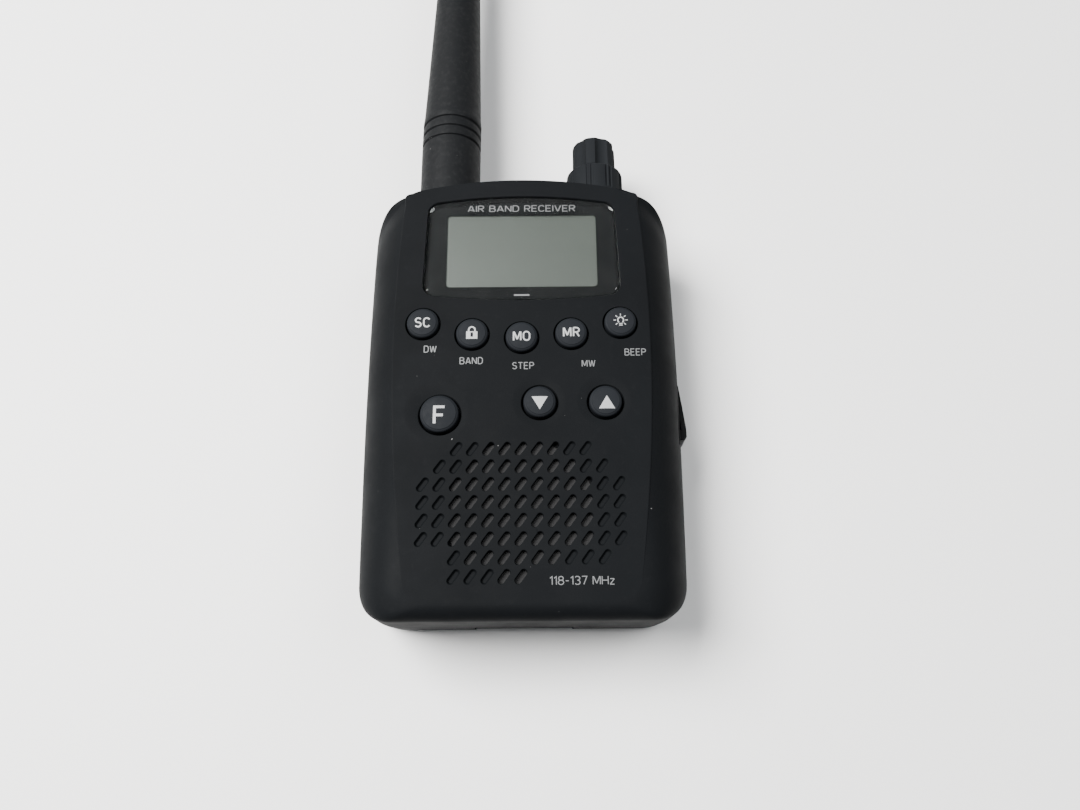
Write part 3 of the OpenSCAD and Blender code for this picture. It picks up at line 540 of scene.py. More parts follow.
def tint(colour: Colour, factor: float) -> Colour:
    """A colour made darker or lighter."""
    red, green, blue = colour
    return red * factor, green * factor, blue * factor


class Sheet:
    """A small builder for the nodes of one material."""

    def __init__(self, name: str) -> None:
        """Starts a material with an empty node tree."""
        self.material = bpy.data.materials.new(name)
        self.material.use_nodes = True
        self.tree = self.material.node_tree
        self.tree.nodes.clear()
        self.out = self.tree.nodes.new("ShaderNodeOutputMaterial")
        self.spot = self.node("TexCoord").outputs["Object"]

    def node(self, kind: str, **values: object) -> bpy.types.Node:
        """Adds a shader node.

        Args:
            kind: the node's type without its ShaderNode prefix.
            values: attributes, and inputs by name with spaces as underscores; a socket is linked.

        Returns:
            The node.
        """
        made = self.tree.nodes.new("ShaderNode" + kind)
        for key, value in values.items():
            name = key.replace("_", " ")
            if hasattr(made, key):
                setattr(made, key, value)
            elif isinstance(value, Socket):
                self.tree.links.new(value, made.inputs[name])
            else:
                made.inputs[name].default_value = value
        return made

    def noise(
        self, scale: float, detail: float = 3.0, rough: float = 0.55,
        stretch: Optional[Sequence[float]] = None,
    ) -> Socket:
        """A noise value between 0 and 1, with a scale in features per millimetre."""
        where = self.spot
        if stretch is not None:
            where = self.node("Mapping", Vector=where, Scale=tuple(stretch)).outputs[0]
        made = self.node("TexNoise", Vector=where, Scale=scale / MM, Detail=detail, Roughness=rough)
        return made.outputs["Fac"]

    def span(
        self, value: Socket, low_in: float, high_in: float, low_out: float, high_out: float
    ) -> Socket:
        """A value moved from one range to another, and held inside it."""
        made = self.node(
            "MapRange", Value=value, From_Min=low_in, From_Max=high_in, To_Min=low_out, To_Max=high_out
        )
        return made.outputs[0]

    def blend(self, factor: object, one: object, two: object) -> Socket:
        """A colour between two others."""
        made = self.node("Mix", data_type="RGBA")
        for index, value in ((0, factor), (6, one), (7, two)):
            if isinstance(value, Socket):
                self.tree.links.new(value, made.inputs[index])
            elif index == 0:
                made.inputs[index].default_value = value
            else:
                made.inputs[index].default_value = (*value, 1.0)
        return made.outputs[2]

    def maths(self, operation: str, one: object, two: object = 0.0) -> Socket:
        """One arithmetic step on values or sockets."""
        made = self.node("Math", operation=operation)
        for index, value in enumerate((one, two)):
            if isinstance(value, Socket):
                self.tree.links.new(value, made.inputs[index])
            else:
                made.inputs[index].default_value = value
        return made.outputs[0]

    def bump(
        self, height: Socket, depth: float, strength: float = 1.0,
        under: Optional[Socket] = None,
    ) -> Socket:
        """A surface normal from a height, with a depth in millimetres."""
        made = self.node("Bump", Height=height, Distance=depth * MM, Strength=strength)
        if under is not None:
            self.tree.links.new(under, made.inputs["Normal"])
        return made.outputs[0]

    def specks(self, per_mm: float, size: float, share: float) -> Socket:
        """A mask of small scattered dust specks.

        Args:
            per_mm: cells per millimetre.
            size: speck size as a part of its cell.
            share: the part of cells that hold a speck.

        Returns:
            The mask.
        """
        warp = self.node("TexNoise", Vector=self.spot, Scale=0.9 / MM, Detail=1.0)
        shift = self.node("VectorMath", operation="SCALE")
        self.tree.links.new(warp.outputs["Color"], shift.inputs[0])
        shift.inputs["Scale"].default_value = 0.6 * MM
        place = self.node("VectorMath", operation="ADD")
        self.tree.links.new(self.spot, place.inputs[0])
        self.tree.links.new(shift.outputs[0], place.inputs[1])
        cells = self.node("TexVoronoi", Vector=place.outputs[0], Scale=per_mm / MM)
        near = self.span(cells.outputs["Distance"], size * 0.5, size, 1.0, 0.0)
        pick = self.node("SeparateColor", Color=cells.outputs["Color"]).outputs[0]
        chosen = self.maths("LESS_THAN", pick, share)
        return self.maths("MULTIPLY", near, chosen)

    def mottled(self, colour: Colour, darker: float, lighter: float, cloud: Socket) -> Socket:
        """A colour that drifts between a darker and a lighter tint of itself.

        Args:
            colour: the colour.
            darker: factor of the dark tint.
            lighter: factor of the light tint.
            cloud: where it is dark or light, 0 to 1.

        Returns:
            The drifting colour.
        """
        return self.blend(cloud, tint(colour, darker), tint(colour, lighter))

    def finish(self, **values: object) -> bpy.types.Material:
        """Ends the material with a Principled surface and returns it."""
        surface = self.node("BsdfPrincipled", **values)
        self.tree.links.new(surface.outputs[0], self.out.inputs[0])
        return self.material


@dataclass(frozen=True)
class Plastic:
    """Moulded plastic with a fine grain, faint handling marks and a little dust."""

    name: str
    colour: Colour
    rough: float = 0.5
    grain: float = 0.012
    grain_per_mm: float = 7.0
    shine: float = 0.3
    dust: float = 0.0
    marks: float = 0.06
    coat: float = 0.0

    def material(self) -> bpy.types.Material:
        """Builds the node material."""
        s = Sheet(self.name)
        hand = s.noise(0.035, 3.0)
        fine = s.noise(self.grain_per_mm, 2.0, 0.6)
        base = s.mottled(self.colour, 0.86, 1.16, s.span(hand, 0.3, 0.7, 0.0, 1.0))
        base = s.blend(s.span(fine, 0.35, 0.7, 0.0, 0.35), base, tint(self.colour, 1.5))
        rough = s.span(s.noise(0.12, 4.0), 0.3, 0.7, self.rough - self.marks, self.rough + self.marks)
        if self.dust:
            grit = s.specks(0.2, 0.035, self.dust)
            fluff = s.maths("MULTIPLY", s.specks(0.55, 0.05, self.dust * 0.5), 0.35)
            base = s.blend(s.maths("MAXIMUM", grit, fluff), base, (0.11, 0.11, 0.108))
            film = s.span(s.noise(0.5, 5.0, 0.7), 0.55, 0.85, 0.0, 0.05)
            base = s.blend(film, base, (0.03, 0.03, 0.031))
        normal = s.bump(fine, self.grain)
        normal = s.bump(s.noise(self.grain_per_mm * 0.18, 3.0), self.grain * 1.5, 0.5, normal)
        return s.finish(
            Base_Color=base, Roughness=rough, Specular_IOR_Level=self.shine, Normal=normal,
            Coat_Weight=self.coat, Coat_Roughness=0.12,
        )


@dataclass(frozen=True)
class Rubber:
    """Silicone or moulded rubber with a satin skin."""

    name: str
    colour: Colour
    rough: float = 0.55
    grain: float = 0.01
    sheen: float = 0.15
    dust: float = 0.0
    shine: float = 0.06

    def material(self) -> bpy.types.Material:
        """Builds the node material."""
        s = Sheet(self.name)
        base = s.mottled(self.colour, 0.85, 1.15, s.noise(0.3, 4.0))
        if self.dust:
            mask = s.specks(0.45, 0.05, self.dust)
            base = s.blend(mask, base, (0.08, 0.08, 0.078))
            film = s.span(s.noise(0.9, 6.0, 0.75), 0.5, 0.8, 0.0, 0.14)
            base = s.blend(film, base, (0.045, 0.045, 0.045))
        rough = s.span(s.noise(0.8, 3.0), 0.3, 0.7, self.rough - 0.07, self.rough + 0.07)
        normal = s.bump(s.noise(5.0, 3.0, 0.65), self.grain)
        return s.finish(
            Base_Color=base, Roughness=rough, Normal=normal, Sheen_Weight=self.sheen, Sheen_Roughness=0.45,
            Specular_IOR_Level=self.shine,
        )


@dataclass(frozen=True)
class Metal:
    """Plated or turned metal with fine marks along one direction."""

    name: str
    colour: Colour
    rough: float = 0.28
    lines: Tuple[float, float, float] = (1.0, 12.0, 1.0)

    def material(self) -> bpy.types.Material:
        """Builds the node material."""
        s = Sheet(self.name)
        base = s.mottled(self.colour, 0.78, 1.0, s.noise(0.4, 4.0))
        streaks = s.noise(1.6, 2.0, 0.5, self.lines)
        rough = s.span(streaks, 0.25, 0.75, self.rough - 0.08, self.rough + 0.12)
        normal = s.bump(streaks, 0.004)
        return s.finish(Base_Color=base, Roughness=rough, Normal=normal, Metallic=1.0)


@dataclass(frozen=True)
class Paint:
    """Printed ink on keys and case, slightly uneven."""

    name: str
    colour: Colour = (0.24, 0.245, 0.245)

    def material(self) -> bpy.types.Material:
        """Builds the node material."""
        s = Sheet(self.name)
        wear = s.span(s.noise(2.5, 5.0, 0.7), 0.3, 0.75, 0.0, 0.45)
        base = s.mottled(self.colour, 1.0, 0.7, wear)
        normal = s.bump(s.noise(9.0, 2.0), 0.006)
        return s.finish(Base_Color=base, Roughness=0.5, Normal=normal)


@dataclass(frozen=True)
class ClearLens:
    """Thin clear acrylic: it lets light through and reflects at its surface."""

    name: str
    rough: float = 0.06

    def material(self) -> bpy.types.Material:
        """Builds the node material."""
        s = Sheet(self.name)
        rough = s.span(s.noise(0.03, 3.0, 0.7), 0.35, 0.8, self.rough, self.rough + 0.03)
        clear = s.node("BsdfTransparent", Color=(0.93, 0.95, 0.94, 1.0))
        gloss = s.node("BsdfGlossy", Color=(1.0, 1.0, 1.0, 1.0), Roughness=rough)
        dust = s.node("BsdfDiffuse", Color=(0.2, 0.2, 0.2, 1.0))
        facing = s.node("Fresnel", IOR=1.49)
        skin = s.node("MixShader", Fac=facing.outputs[0])
        s.tree.links.new(clear.outputs[0], skin.inputs[1])
        s.tree.links.new(gloss.outputs[0], skin.inputs[2])
        film = s.span(s.noise(0.15, 4.0), 0.4, 0.8, 0.002, 0.012)
        dusty = s.maths("MAXIMUM", s.specks(0.3, 0.03, 0.2), film)
        both = s.node("MixShader", Fac=dusty)
        s.tree.links.new(skin.outputs[0], both.inputs[1])
        s.tree.links.new(dust.outputs[0], both.inputs[2])
        s.tree.links.new(both.outputs[0], s.out.inputs[0])
        return s.material


@dataclass(frozen=True)
class LiquidCrystal:
    """Grey-green reflective display with a fine cell pattern."""

    name: str
    colour: Colour = (0.041, 0.045, 0.039)

    def material(self) -> bpy.types.Material:
        """Builds the node material."""
        s = Sheet(self.name)
        cells = s.noise(14.0, 1.0)
        base = s.mottled(self.colour, 0.92, 1.06, s.noise(0.06, 2.0))
        base = s.blend(s.span(cells, 0.4, 0.8, 0.0, 0.25), base, tint(self.colour, 1.35))
        normal = s.bump(cells, 0.004)
        return s.finish(Base_Color=base, Roughness=0.42, Normal=normal, Coat_Weight=0.4, Coat_Roughness=0.2)


@dataclass(frozen=True)
class Cloth:
    """Fine black woven cloth behind the grille."""

    name: str
    colour: Colour = (0.0055, 0.0055, 0.006)

    def material(self) -> bpy.types.Material:
        """Builds the node material."""
        s = Sheet(self.name)
        heights = []
        for direction in ("X", "Y"):
            wave = s.node("TexWave", Vector=s.spot, Scale=1.1 / MM, bands_direction=direction, Distortion=0.4)
            heights.append(wave.outputs["Fac"])
        weave = s.maths("MULTIPLY", *heights)
        base = s.mottled(self.colour, 0.5, 1.8, weave)
        return s.finish(Base_Color=base, Roughness=0.9, Normal=s.bump(weave, 0.05))


@dataclass(frozen=True)
class Tabletop:
    """Pale matt table under the radio."""

    name: str
    colour: Colour = (0.72, 0.72, 0.715)

    def material(self) -> bpy.types.Material:
        """Builds the node material."""
        s = Sheet(self.name)
        base = s.mottled(self.colour, 0.985, 1.015, s.noise(0.02, 4.0))
        fleck = s.span(s.noise(1.2, 4.0, 0.7), 0.3, 0.75, 0.0, 0.07)
        base = s.blend(fleck, base, tint(self.colour, 0.8))
        normal = s.bump(s.noise(1.5, 4.0, 0.6), 0.02)
        return s.finish(Base_Color=base, Roughness=0.55, Normal=normal, Specular_IOR_Level=0.3)


class Palette:
    """Every finish, built once."""

    def __init__(self) -> None:
        """Builds the materials."""
        finishes = (
            Plastic("soft_black", (0.0030, 0.0034, 0.0039), rough=0.6, shine=0.03, dust=0.3),
            Plastic("door_black", (0.0021, 0.0024, 0.0028), rough=0.52, shine=0.05, dust=0.12, grain=0.02),
            Plastic("knob_black", (0.0064, 0.0071, 0.0080), rough=0.68, shine=0.03, dust=0.1),
            Plastic("gloss_black", (0.002, 0.0021, 0.0024), rough=0.22, grain=0.002, shine=0.4),
            Plastic("mask_black", (0.0022, 0.0024, 0.0027), rough=0.45, grain=0.001, shine=0.03),
            Plastic("chip_black", (0.006, 0.006, 0.0065), rough=0.6),
            Plastic("board_green", (0.008, 0.07, 0.025), rough=0.35, grain=0.01, coat=0.3),
            Plastic("white_plastic", (0.62, 0.62, 0.6), rough=0.45),
            Plastic("milky", (0.7, 0.75, 0.62), rough=0.3),
            Plastic("lead_red", (0.35, 0.02, 0.02), rough=0.35),
            Plastic("sleeve_blue", (0.01, 0.025, 0.06), rough=0.25),
            Plastic("cell_jacket", (0.004, 0.0045, 0.0055), rough=0.25, coat=0.4, grain=0.003),
            Plastic("cell_band", (0.42, 0.24, 0.04), rough=0.3, coat=0.4, grain=0.003),
            Plastic("cone_black", (0.005, 0.005, 0.0055), rough=0.85, grain=0.05),
            Rubber("key_grey", (0.0066, 0.0075, 0.0090), rough=0.62, sheen=0.0, shine=0.05),
            Rubber("mat_grey", (0.25, 0.26, 0.26), rough=0.6),
            Rubber("strip_pink", (0.42, 0.16, 0.2), rough=0.6),
            Rubber("antenna_black", (0.0042, 0.0046, 0.0051), rough=0.62, sheen=0.004, dust=0.3),
            Rubber("cover_black", (0.0012, 0.0013, 0.0015), rough=0.35, sheen=0.0),
            Metal("nickel", (0.62, 0.61, 0.58)),
            Metal("brass_plate", (0.68, 0.55, 0.3)),
            Metal("tin", (0.66, 0.67, 0.68), rough=0.35),
            Metal("copper", (0.72, 0.34, 0.18), rough=0.3),
            Paint("white_ink"),
            Paint("dim_ink", (0.075, 0.078, 0.08)),
            ClearLens("clear_lens"),
            LiquidCrystal("crystal"),
            Cloth("dust_cloth"),
            Tabletop("tabletop"),
        )
        self.made: Dict[str, bpy.types.Material] = {f.name: f.material() for f in finishes}

    def __getitem__(self, name: str) -> bpy.types.Material:
        """The material with that name."""
        return self.made[name]


# ---------------------------------------------------------------- the case


@dataclass
class CasePlan:
    """Plan outline of the case, as arcs and lines, and the front panel's outline inside it."""

    half_width: float = 34.4
    bottom: float = -48.65
    top: float = 48.65
    arch: float = 100.0
    bulge: float = 1700.0
    belly: float = 5.0
    shoulder: float = 8.0
    shoulder_level: float = 37.0
    crest_level: float = 40.9
    foot: float = 8.4
    crease_bow: float = 340.0
    crease_half: float = 27.4
    crease_middle: float = 12.0
    foot_round: float = 3.2
    crown_round: float = 0.12
    panel_corner: float = 5.0
    crest: float = 1.2

    @classmethod
    def from_frame(cls) -> "CasePlan":
        """The plan at the CAD case's own size."""
        lowest, highest = low("rear_case"), high("rear_case")
        slimmer = 0.12
        return cls(half_width=highest[0] - slimmer, bottom=lowest[1], top=highest[1])

    def edge_x(self, y: float) -> float:
        """Half the width at a place along the case."""
        return self.half_width - (y - self.belly) ** 2 / (2 * self.bulge)

    def crease_x(self, y: float) -> float:
        """Half the width of the front panel at a place along the case."""
        return self.crease_half - (y - self.crease_middle) ** 2 / (2 * self.crease_bow)

    def arch_y(self, x: float, inset: float = 0.0) -> float:
        """The arched top end at a distance from the middle."""
        radius = self.arch - inset
        return self.top - self.arch + math.sqrt(radius * radius - x * x)

    def tangent_corner(self, side_x: float, radius: float, arch: float) -> Tuple[Flat, float]:
        """The corner arc that runs smoothly from a side into the arch.

        Args:
            side_x: half the width at the corner.
            radius: the corner's radius.
            arch: the arch's radius.

        Returns:
            The arc's centre, and the angle in radians at which it meets the arch.
        """
        centre_x = side_x - radius
        rise = math.sqrt((arch - radius) ** 2 - centre_x**2)
        return (centre_x, self.top - self.arch + rise), math.atan2(rise, centre_x)

    def right_half(self, steps: Dict[str, int]) -> List[Tuple[Flat, Flat, float]]:
        """Matching points of the outer outline and the panel outline, for the right half from the bottom up.

        Args:
            steps: how many points the foot, corner, side and arch sections have.

        Returns:
            For each point the outer place, the panel place, and how far the outline faces sideways, 0 to 1.
        """
        points = []
        foot_x = self.edge_x(self.bottom + self.foot) - self.foot
        foot_y = self.bottom + self.foot
        panel_low = self.bottom + self.foot_round
        panel_corner, crest = self.panel_corner, self.crest
        corner_in_x = self.crease_x(panel_low + panel_corner) - panel_corner
        for t in np.linspace(0, 1, steps["foot"], endpoint=False):
            points.append(((foot_x * t, self.bottom), (corner_in_x * t, panel_low), 0.0))
        for t in np.linspace(0, 1, steps["corner"], endpoint=False):
            a = math.radians(-90 + 90 * t)
            outer = (foot_x + self.foot * math.cos(a), foot_y + self.foot * math.sin(a))
            inner = (corner_in_x + panel_corner * math.cos(a), panel_low + panel_corner * (1 + math.sin(a)))
            points.append((outer, inner, math.cos(a) ** 2))
        outer_turn = self.tangent_corner(self.edge_x(self.shoulder_level), self.shoulder, self.arch)
        panel_side = self.crease_x(self.crest_level)
        inner_turn = self.tangent_corner(panel_side, crest, self.arch - self.crown_round)
        (shoulder_x, side_top), (crest_x, panel_top) = outer_turn[0], inner_turn[0]
        for t in np.linspace(0, 1, steps["side"], endpoint=False):
            y_out = foot_y + (side_top - foot_y) * t
            y_in = panel_low + panel_corner + (panel_top - panel_low - panel_corner) * t
            points.append(((self.edge_x(y_out), y_out), (self.crease_x(y_in), y_in), 1.0))
        for t in np.linspace(0, 1, steps["corner"], endpoint=False):
            a, b = outer_turn[1] * t, inner_turn[1] * t
            outer = (shoulder_x + self.shoulder * math.cos(a), side_top + self.shoulder * math.sin(a))
            inner = (crest_x + crest * math.cos(b), panel_top + crest * math.sin(b))
            points.append((outer, inner, math.cos(math.radians(90 * t)) ** 2))
        last_out = shoulder_x + self.shoulder * math.cos(outer_turn[1])
        last_in = crest_x + crest * math.cos(inner_turn[1])
        for t in np.linspace(0, 1, steps["arch"]):
            x_out, x_in = last_out * (1 - t), last_in * (1 - t)
            points.append(((x_out, self.arch_y(x_out)), (x_in, self.arch_y(x_in, self.crown_round)), 0.0))
        return points

    def loops(self) -> Tuple[Points, Points, Points]:
        """The whole outer outline, panel outline and sideways share, counter-clockwise."""
        half = self.right_half({"foot": 14, "corner": 20, "side": 46, "arch": 26})
        mirrored = [((-o[0], o[1]), (-i[0], i[1]), w) for o, i, w in reversed(half[1:-1])]
        whole = half + mirrored
        outer = np.array([o for o, _, _ in whole])
        inner = np.array([i for _, i, _ in whole])
        share = np.array([w for _, _, w in whole])
        return outer, inner, share


@dataclass
class FrontSkin:
    """The rounded skin of the front shell, from the parting line up to the raised panel."""

    plan: CasePlan
    split: float
    face: float
    flank_start: float = 15.0
    panel_edge: float = 0.28
    crease_lean: float = 64.0
    chamfer: float = 0.12
    layers: int = 22

    @staticmethod
    def ramp(value: Points, start: float, end: float) -> Points:
        """A smooth change from 0 to 1 between two values."""
        t = np.clip((value - start) / (end - start), 0, 1)
        return t * t * (3 - 2 * t)

    def profile(
        self, t: float, inner: Points, drop: Points, share: Points
    ) -> Tuple[Points, Points]:
        """How far in and how high the skin is, part of the way up.

        Args:
            t: 0 at the start of the roundings, 1 at the panel's edge.
            inner: the panel's outline.
            drop: how far below the panel the skin ends, for each point.
            share: how far each point faces sideways.

        Returns:
            The part of the way from the outline to the panel, and the height, for each point.
        """
        rise = self.face - drop
        fade = self.ramp(-inner[:, 1], 20.0, 44.0)
        lean = np.radians(self.crease_lean + (90 - self.crease_lean) * fade)
        side_in = (1 - np.cos(t * lean)) / (1 - np.cos(lean))
        side_up = self.flank_start + (rise - self.flank_start) * np.sin(t * lean) / np.sin(lean)
        crown = inner[:, 1] > 0
        round_up = np.where(crown, 0.5 + 2.4 * self.corner(inner), self.plan.foot_round)
        end_in = 1 - math.cos(t * math.pi / 2)
        end_up = rise - round_up * (1 - math.sin(t * math.pi / 2))
        return side_in * share + end_in * (1 - share), side_up * share + end_up * (1 - share)

    @staticmethod
    def corner(inner: Points) -> Points:
        """1 at the panel's upper corners, 0 along the middle of its upper edge."""
        return FrontSkin.ramp(np.abs(inner[:, 0]), 21.5, 25.0)

    def step(self, inner: Points, share: Points) -> Points:
        """How far the panel's edge stands above the skin round it, for each point."""
        y = inner[:, 1]
        side = (0.10 + 0.16 * np.clip((y + 44) / 50, 0, 1)) * self.ramp(y, -46.0, -26.0)
        shoulder = 1.4 * np.clip((y - 38.5) / 7, 0, 1) ** 2
        return 0.004 + share * side + shoulder * self.corner(inner)

    def shape(self) -> Shape:
        """The shell's solid body with its raised panel."""
        outer, inner, share = self.plan.loops()
        drop = self.step(inner, share)
        start = self.split + self.chamfer + 0.01
        rings = [flat_ring(grown(outer, -self.chamfer), self.split), flat_ring(outer, start)]
        for k in range(self.layers + 1):
            go, up = self.profile(k / self.layers, inner, drop, share)
            flat = outer + (inner - outer) * go[:, None]
            if k == 0:
                rings.append(flat_ring(flat, self.split + 0.5))
            rings.append(np.column_stack([flat, up]))
        for lift, within in ((0.55, 0.02), (0.8, 0.10), (0.95, 0.22), (1.0, self.panel_edge + 0.08)):
            height = self.face - drop * (1 - lift)
            rings.append(np.column_stack([grown(inner, -within * np.clip(drop / 0.2, 0.1, 1.0)), height]))
        return Shape.loft(rings)


@dataclass
class Slots:
    """The grille's slanted slots, in rows of different lengths."""

    centre: Flat
    pitch_x: float = 3.28
    pitch_y: float = 3.68
    length: float = 3.15
    width: float = 1.3
    slant: float = 54.0
    first_row: float = 12.9
    columns: Tuple[Tuple[int, int], ...] = ((-4, 4), (-5, 5), *((-6, 6),) * 4, (-4, 5), (-4, 0))
    open_columns: Tuple[Tuple[int, int], ...] = ((-2, 2), (-3, 3), *((-4, 4),) * 4, (-3, 2), (-1, 0))
    open_depth: float = 1.4
    blind_depth: float = 0.6

    def outline(self, i: int, j: int) -> Points:
        """Plan outline of the slot in column i and row j."""
        reach = (self.length - self.width) / 2
        ends = arc((reach, 0), self.width / 2, -90, 90, 9) + arc((-reach, 0), self.width / 2, 90, 270, 9)
        place = (self.centre[0] + i * self.pitch_x, self.centre[1] + self.first_row - j * self.pitch_y)
        return np.array(ends) @ turning(self.slant) + place

    def tools(self, face: float) -> Shape:
        """Cutters for all the slots, with a small chamfer at the face's height."""
        shape = Shape()
        for j, (first, last) in enumerate(self.columns):
            for i in range(first, last + 1):
                is_open = self.open_columns[j][0] <= i <= self.open_columns[j][1]
                deep = self.open_depth if is_open else self.blind_depth
                heights = [(face - deep, -0.05 if is_open else -0.3), (face - deep + 0.25, -0.04)]
                heights += [(face - 0.2, 0.0), (face - 0.07, 0.04), (face, 0.13), (face + 0.12, 0.28)]
                shape.add(prism(self.outline(i, j), heights))
        return shape


class Key(Enum):
    """The eight keys with their marks."""

    SCAN = "scan_key"
    LOCK = "lock_key"
    MONITOR = "monitor_key"
    RECALL = "recall_key"
    LAMP = "lamp_key"
    FUNCTION = "function_key"
    DOWN = "down_key"
    UP = "up_key"

    @property
    def place(self) -> Flat:
        """The key's middle in plan."""
        return middle_in_plan(self.value)

    @property
    def radius(self) -> float:
        """The cap's radius, inside its hidden rim."""
        return 4.0 if self is Key.FUNCTION else 3.4


@dataclass
class LensOutline:
    """The display lens: arched above and below, with sides that spread downwards."""

    top: float
    bottom: float
    half_top: float = 20.5
    half_bottom: float = 21.3
    top_radius: float = 116.0
    bottom_radius: float = 170.0
    corner: float = 2.6

    @classmethod
    def from_frame(cls) -> "LensOutline":
        """The outline at the CAD lens's own place."""
        return cls(top=high("display_lens")[1], bottom=low("display_lens")[1])

    def points(self) -> Points:
        """The outline, counter-clockwise from the lower right corner."""

        def bow(x: float, radius: float) -> float:
            """How far an arc falls at a distance from its middle."""
            return radius - math.sqrt(radius * radius - x * x)

        def arched(x: float, up: bool) -> Flat:
            """A point of the top or bottom arc."""
            if up:
                return x, self.top - bow(x, self.top_radius)
            return x, self.bottom + bow(x, self.bottom_radius)

        corners = [arched(self.half_bottom, False), arched(self.half_top, True)]
        corners += [(-corners[1][0], corners[1][1]), (-corners[0][0], corners[0][1])]
        outline: List[Flat] = []
        for index, corner in enumerate(corners):
            here = Vector(corner)
            before = Vector(corners[index - 1])
            after = Vector(corners[(index + 1) % 4])
            if index in (0, 2):
                before = Vector(arched(corner[0] * 0.8, index == 2))
            else:
                after = Vector(arched(corner[0] * 0.8, index == 1))
            one, two = (before - here).normalized(), (after - here).normalized()
            half = one.angle(two) / 2
            centre = here + (one + two).normalized() * (self.corner / math.sin(half))
            start = here + one * (self.corner / math.tan(half)) - centre
            angle = math.degrees(math.atan2(start.y, start.x))
            sweep = 180 - 2 * math.degrees(half)
            outline += arc((centre.x, centre.y), self.corner, angle, angle + sweep, 12)
            if index in (1, 3):
                reach = abs(outline[-1][0]) * 0.96
                across = np.linspace(reach, -reach, 30) * (1 if index == 1 else -1)
                outline += [arched(x, index == 1) for x in across]
        return np.array(outline)


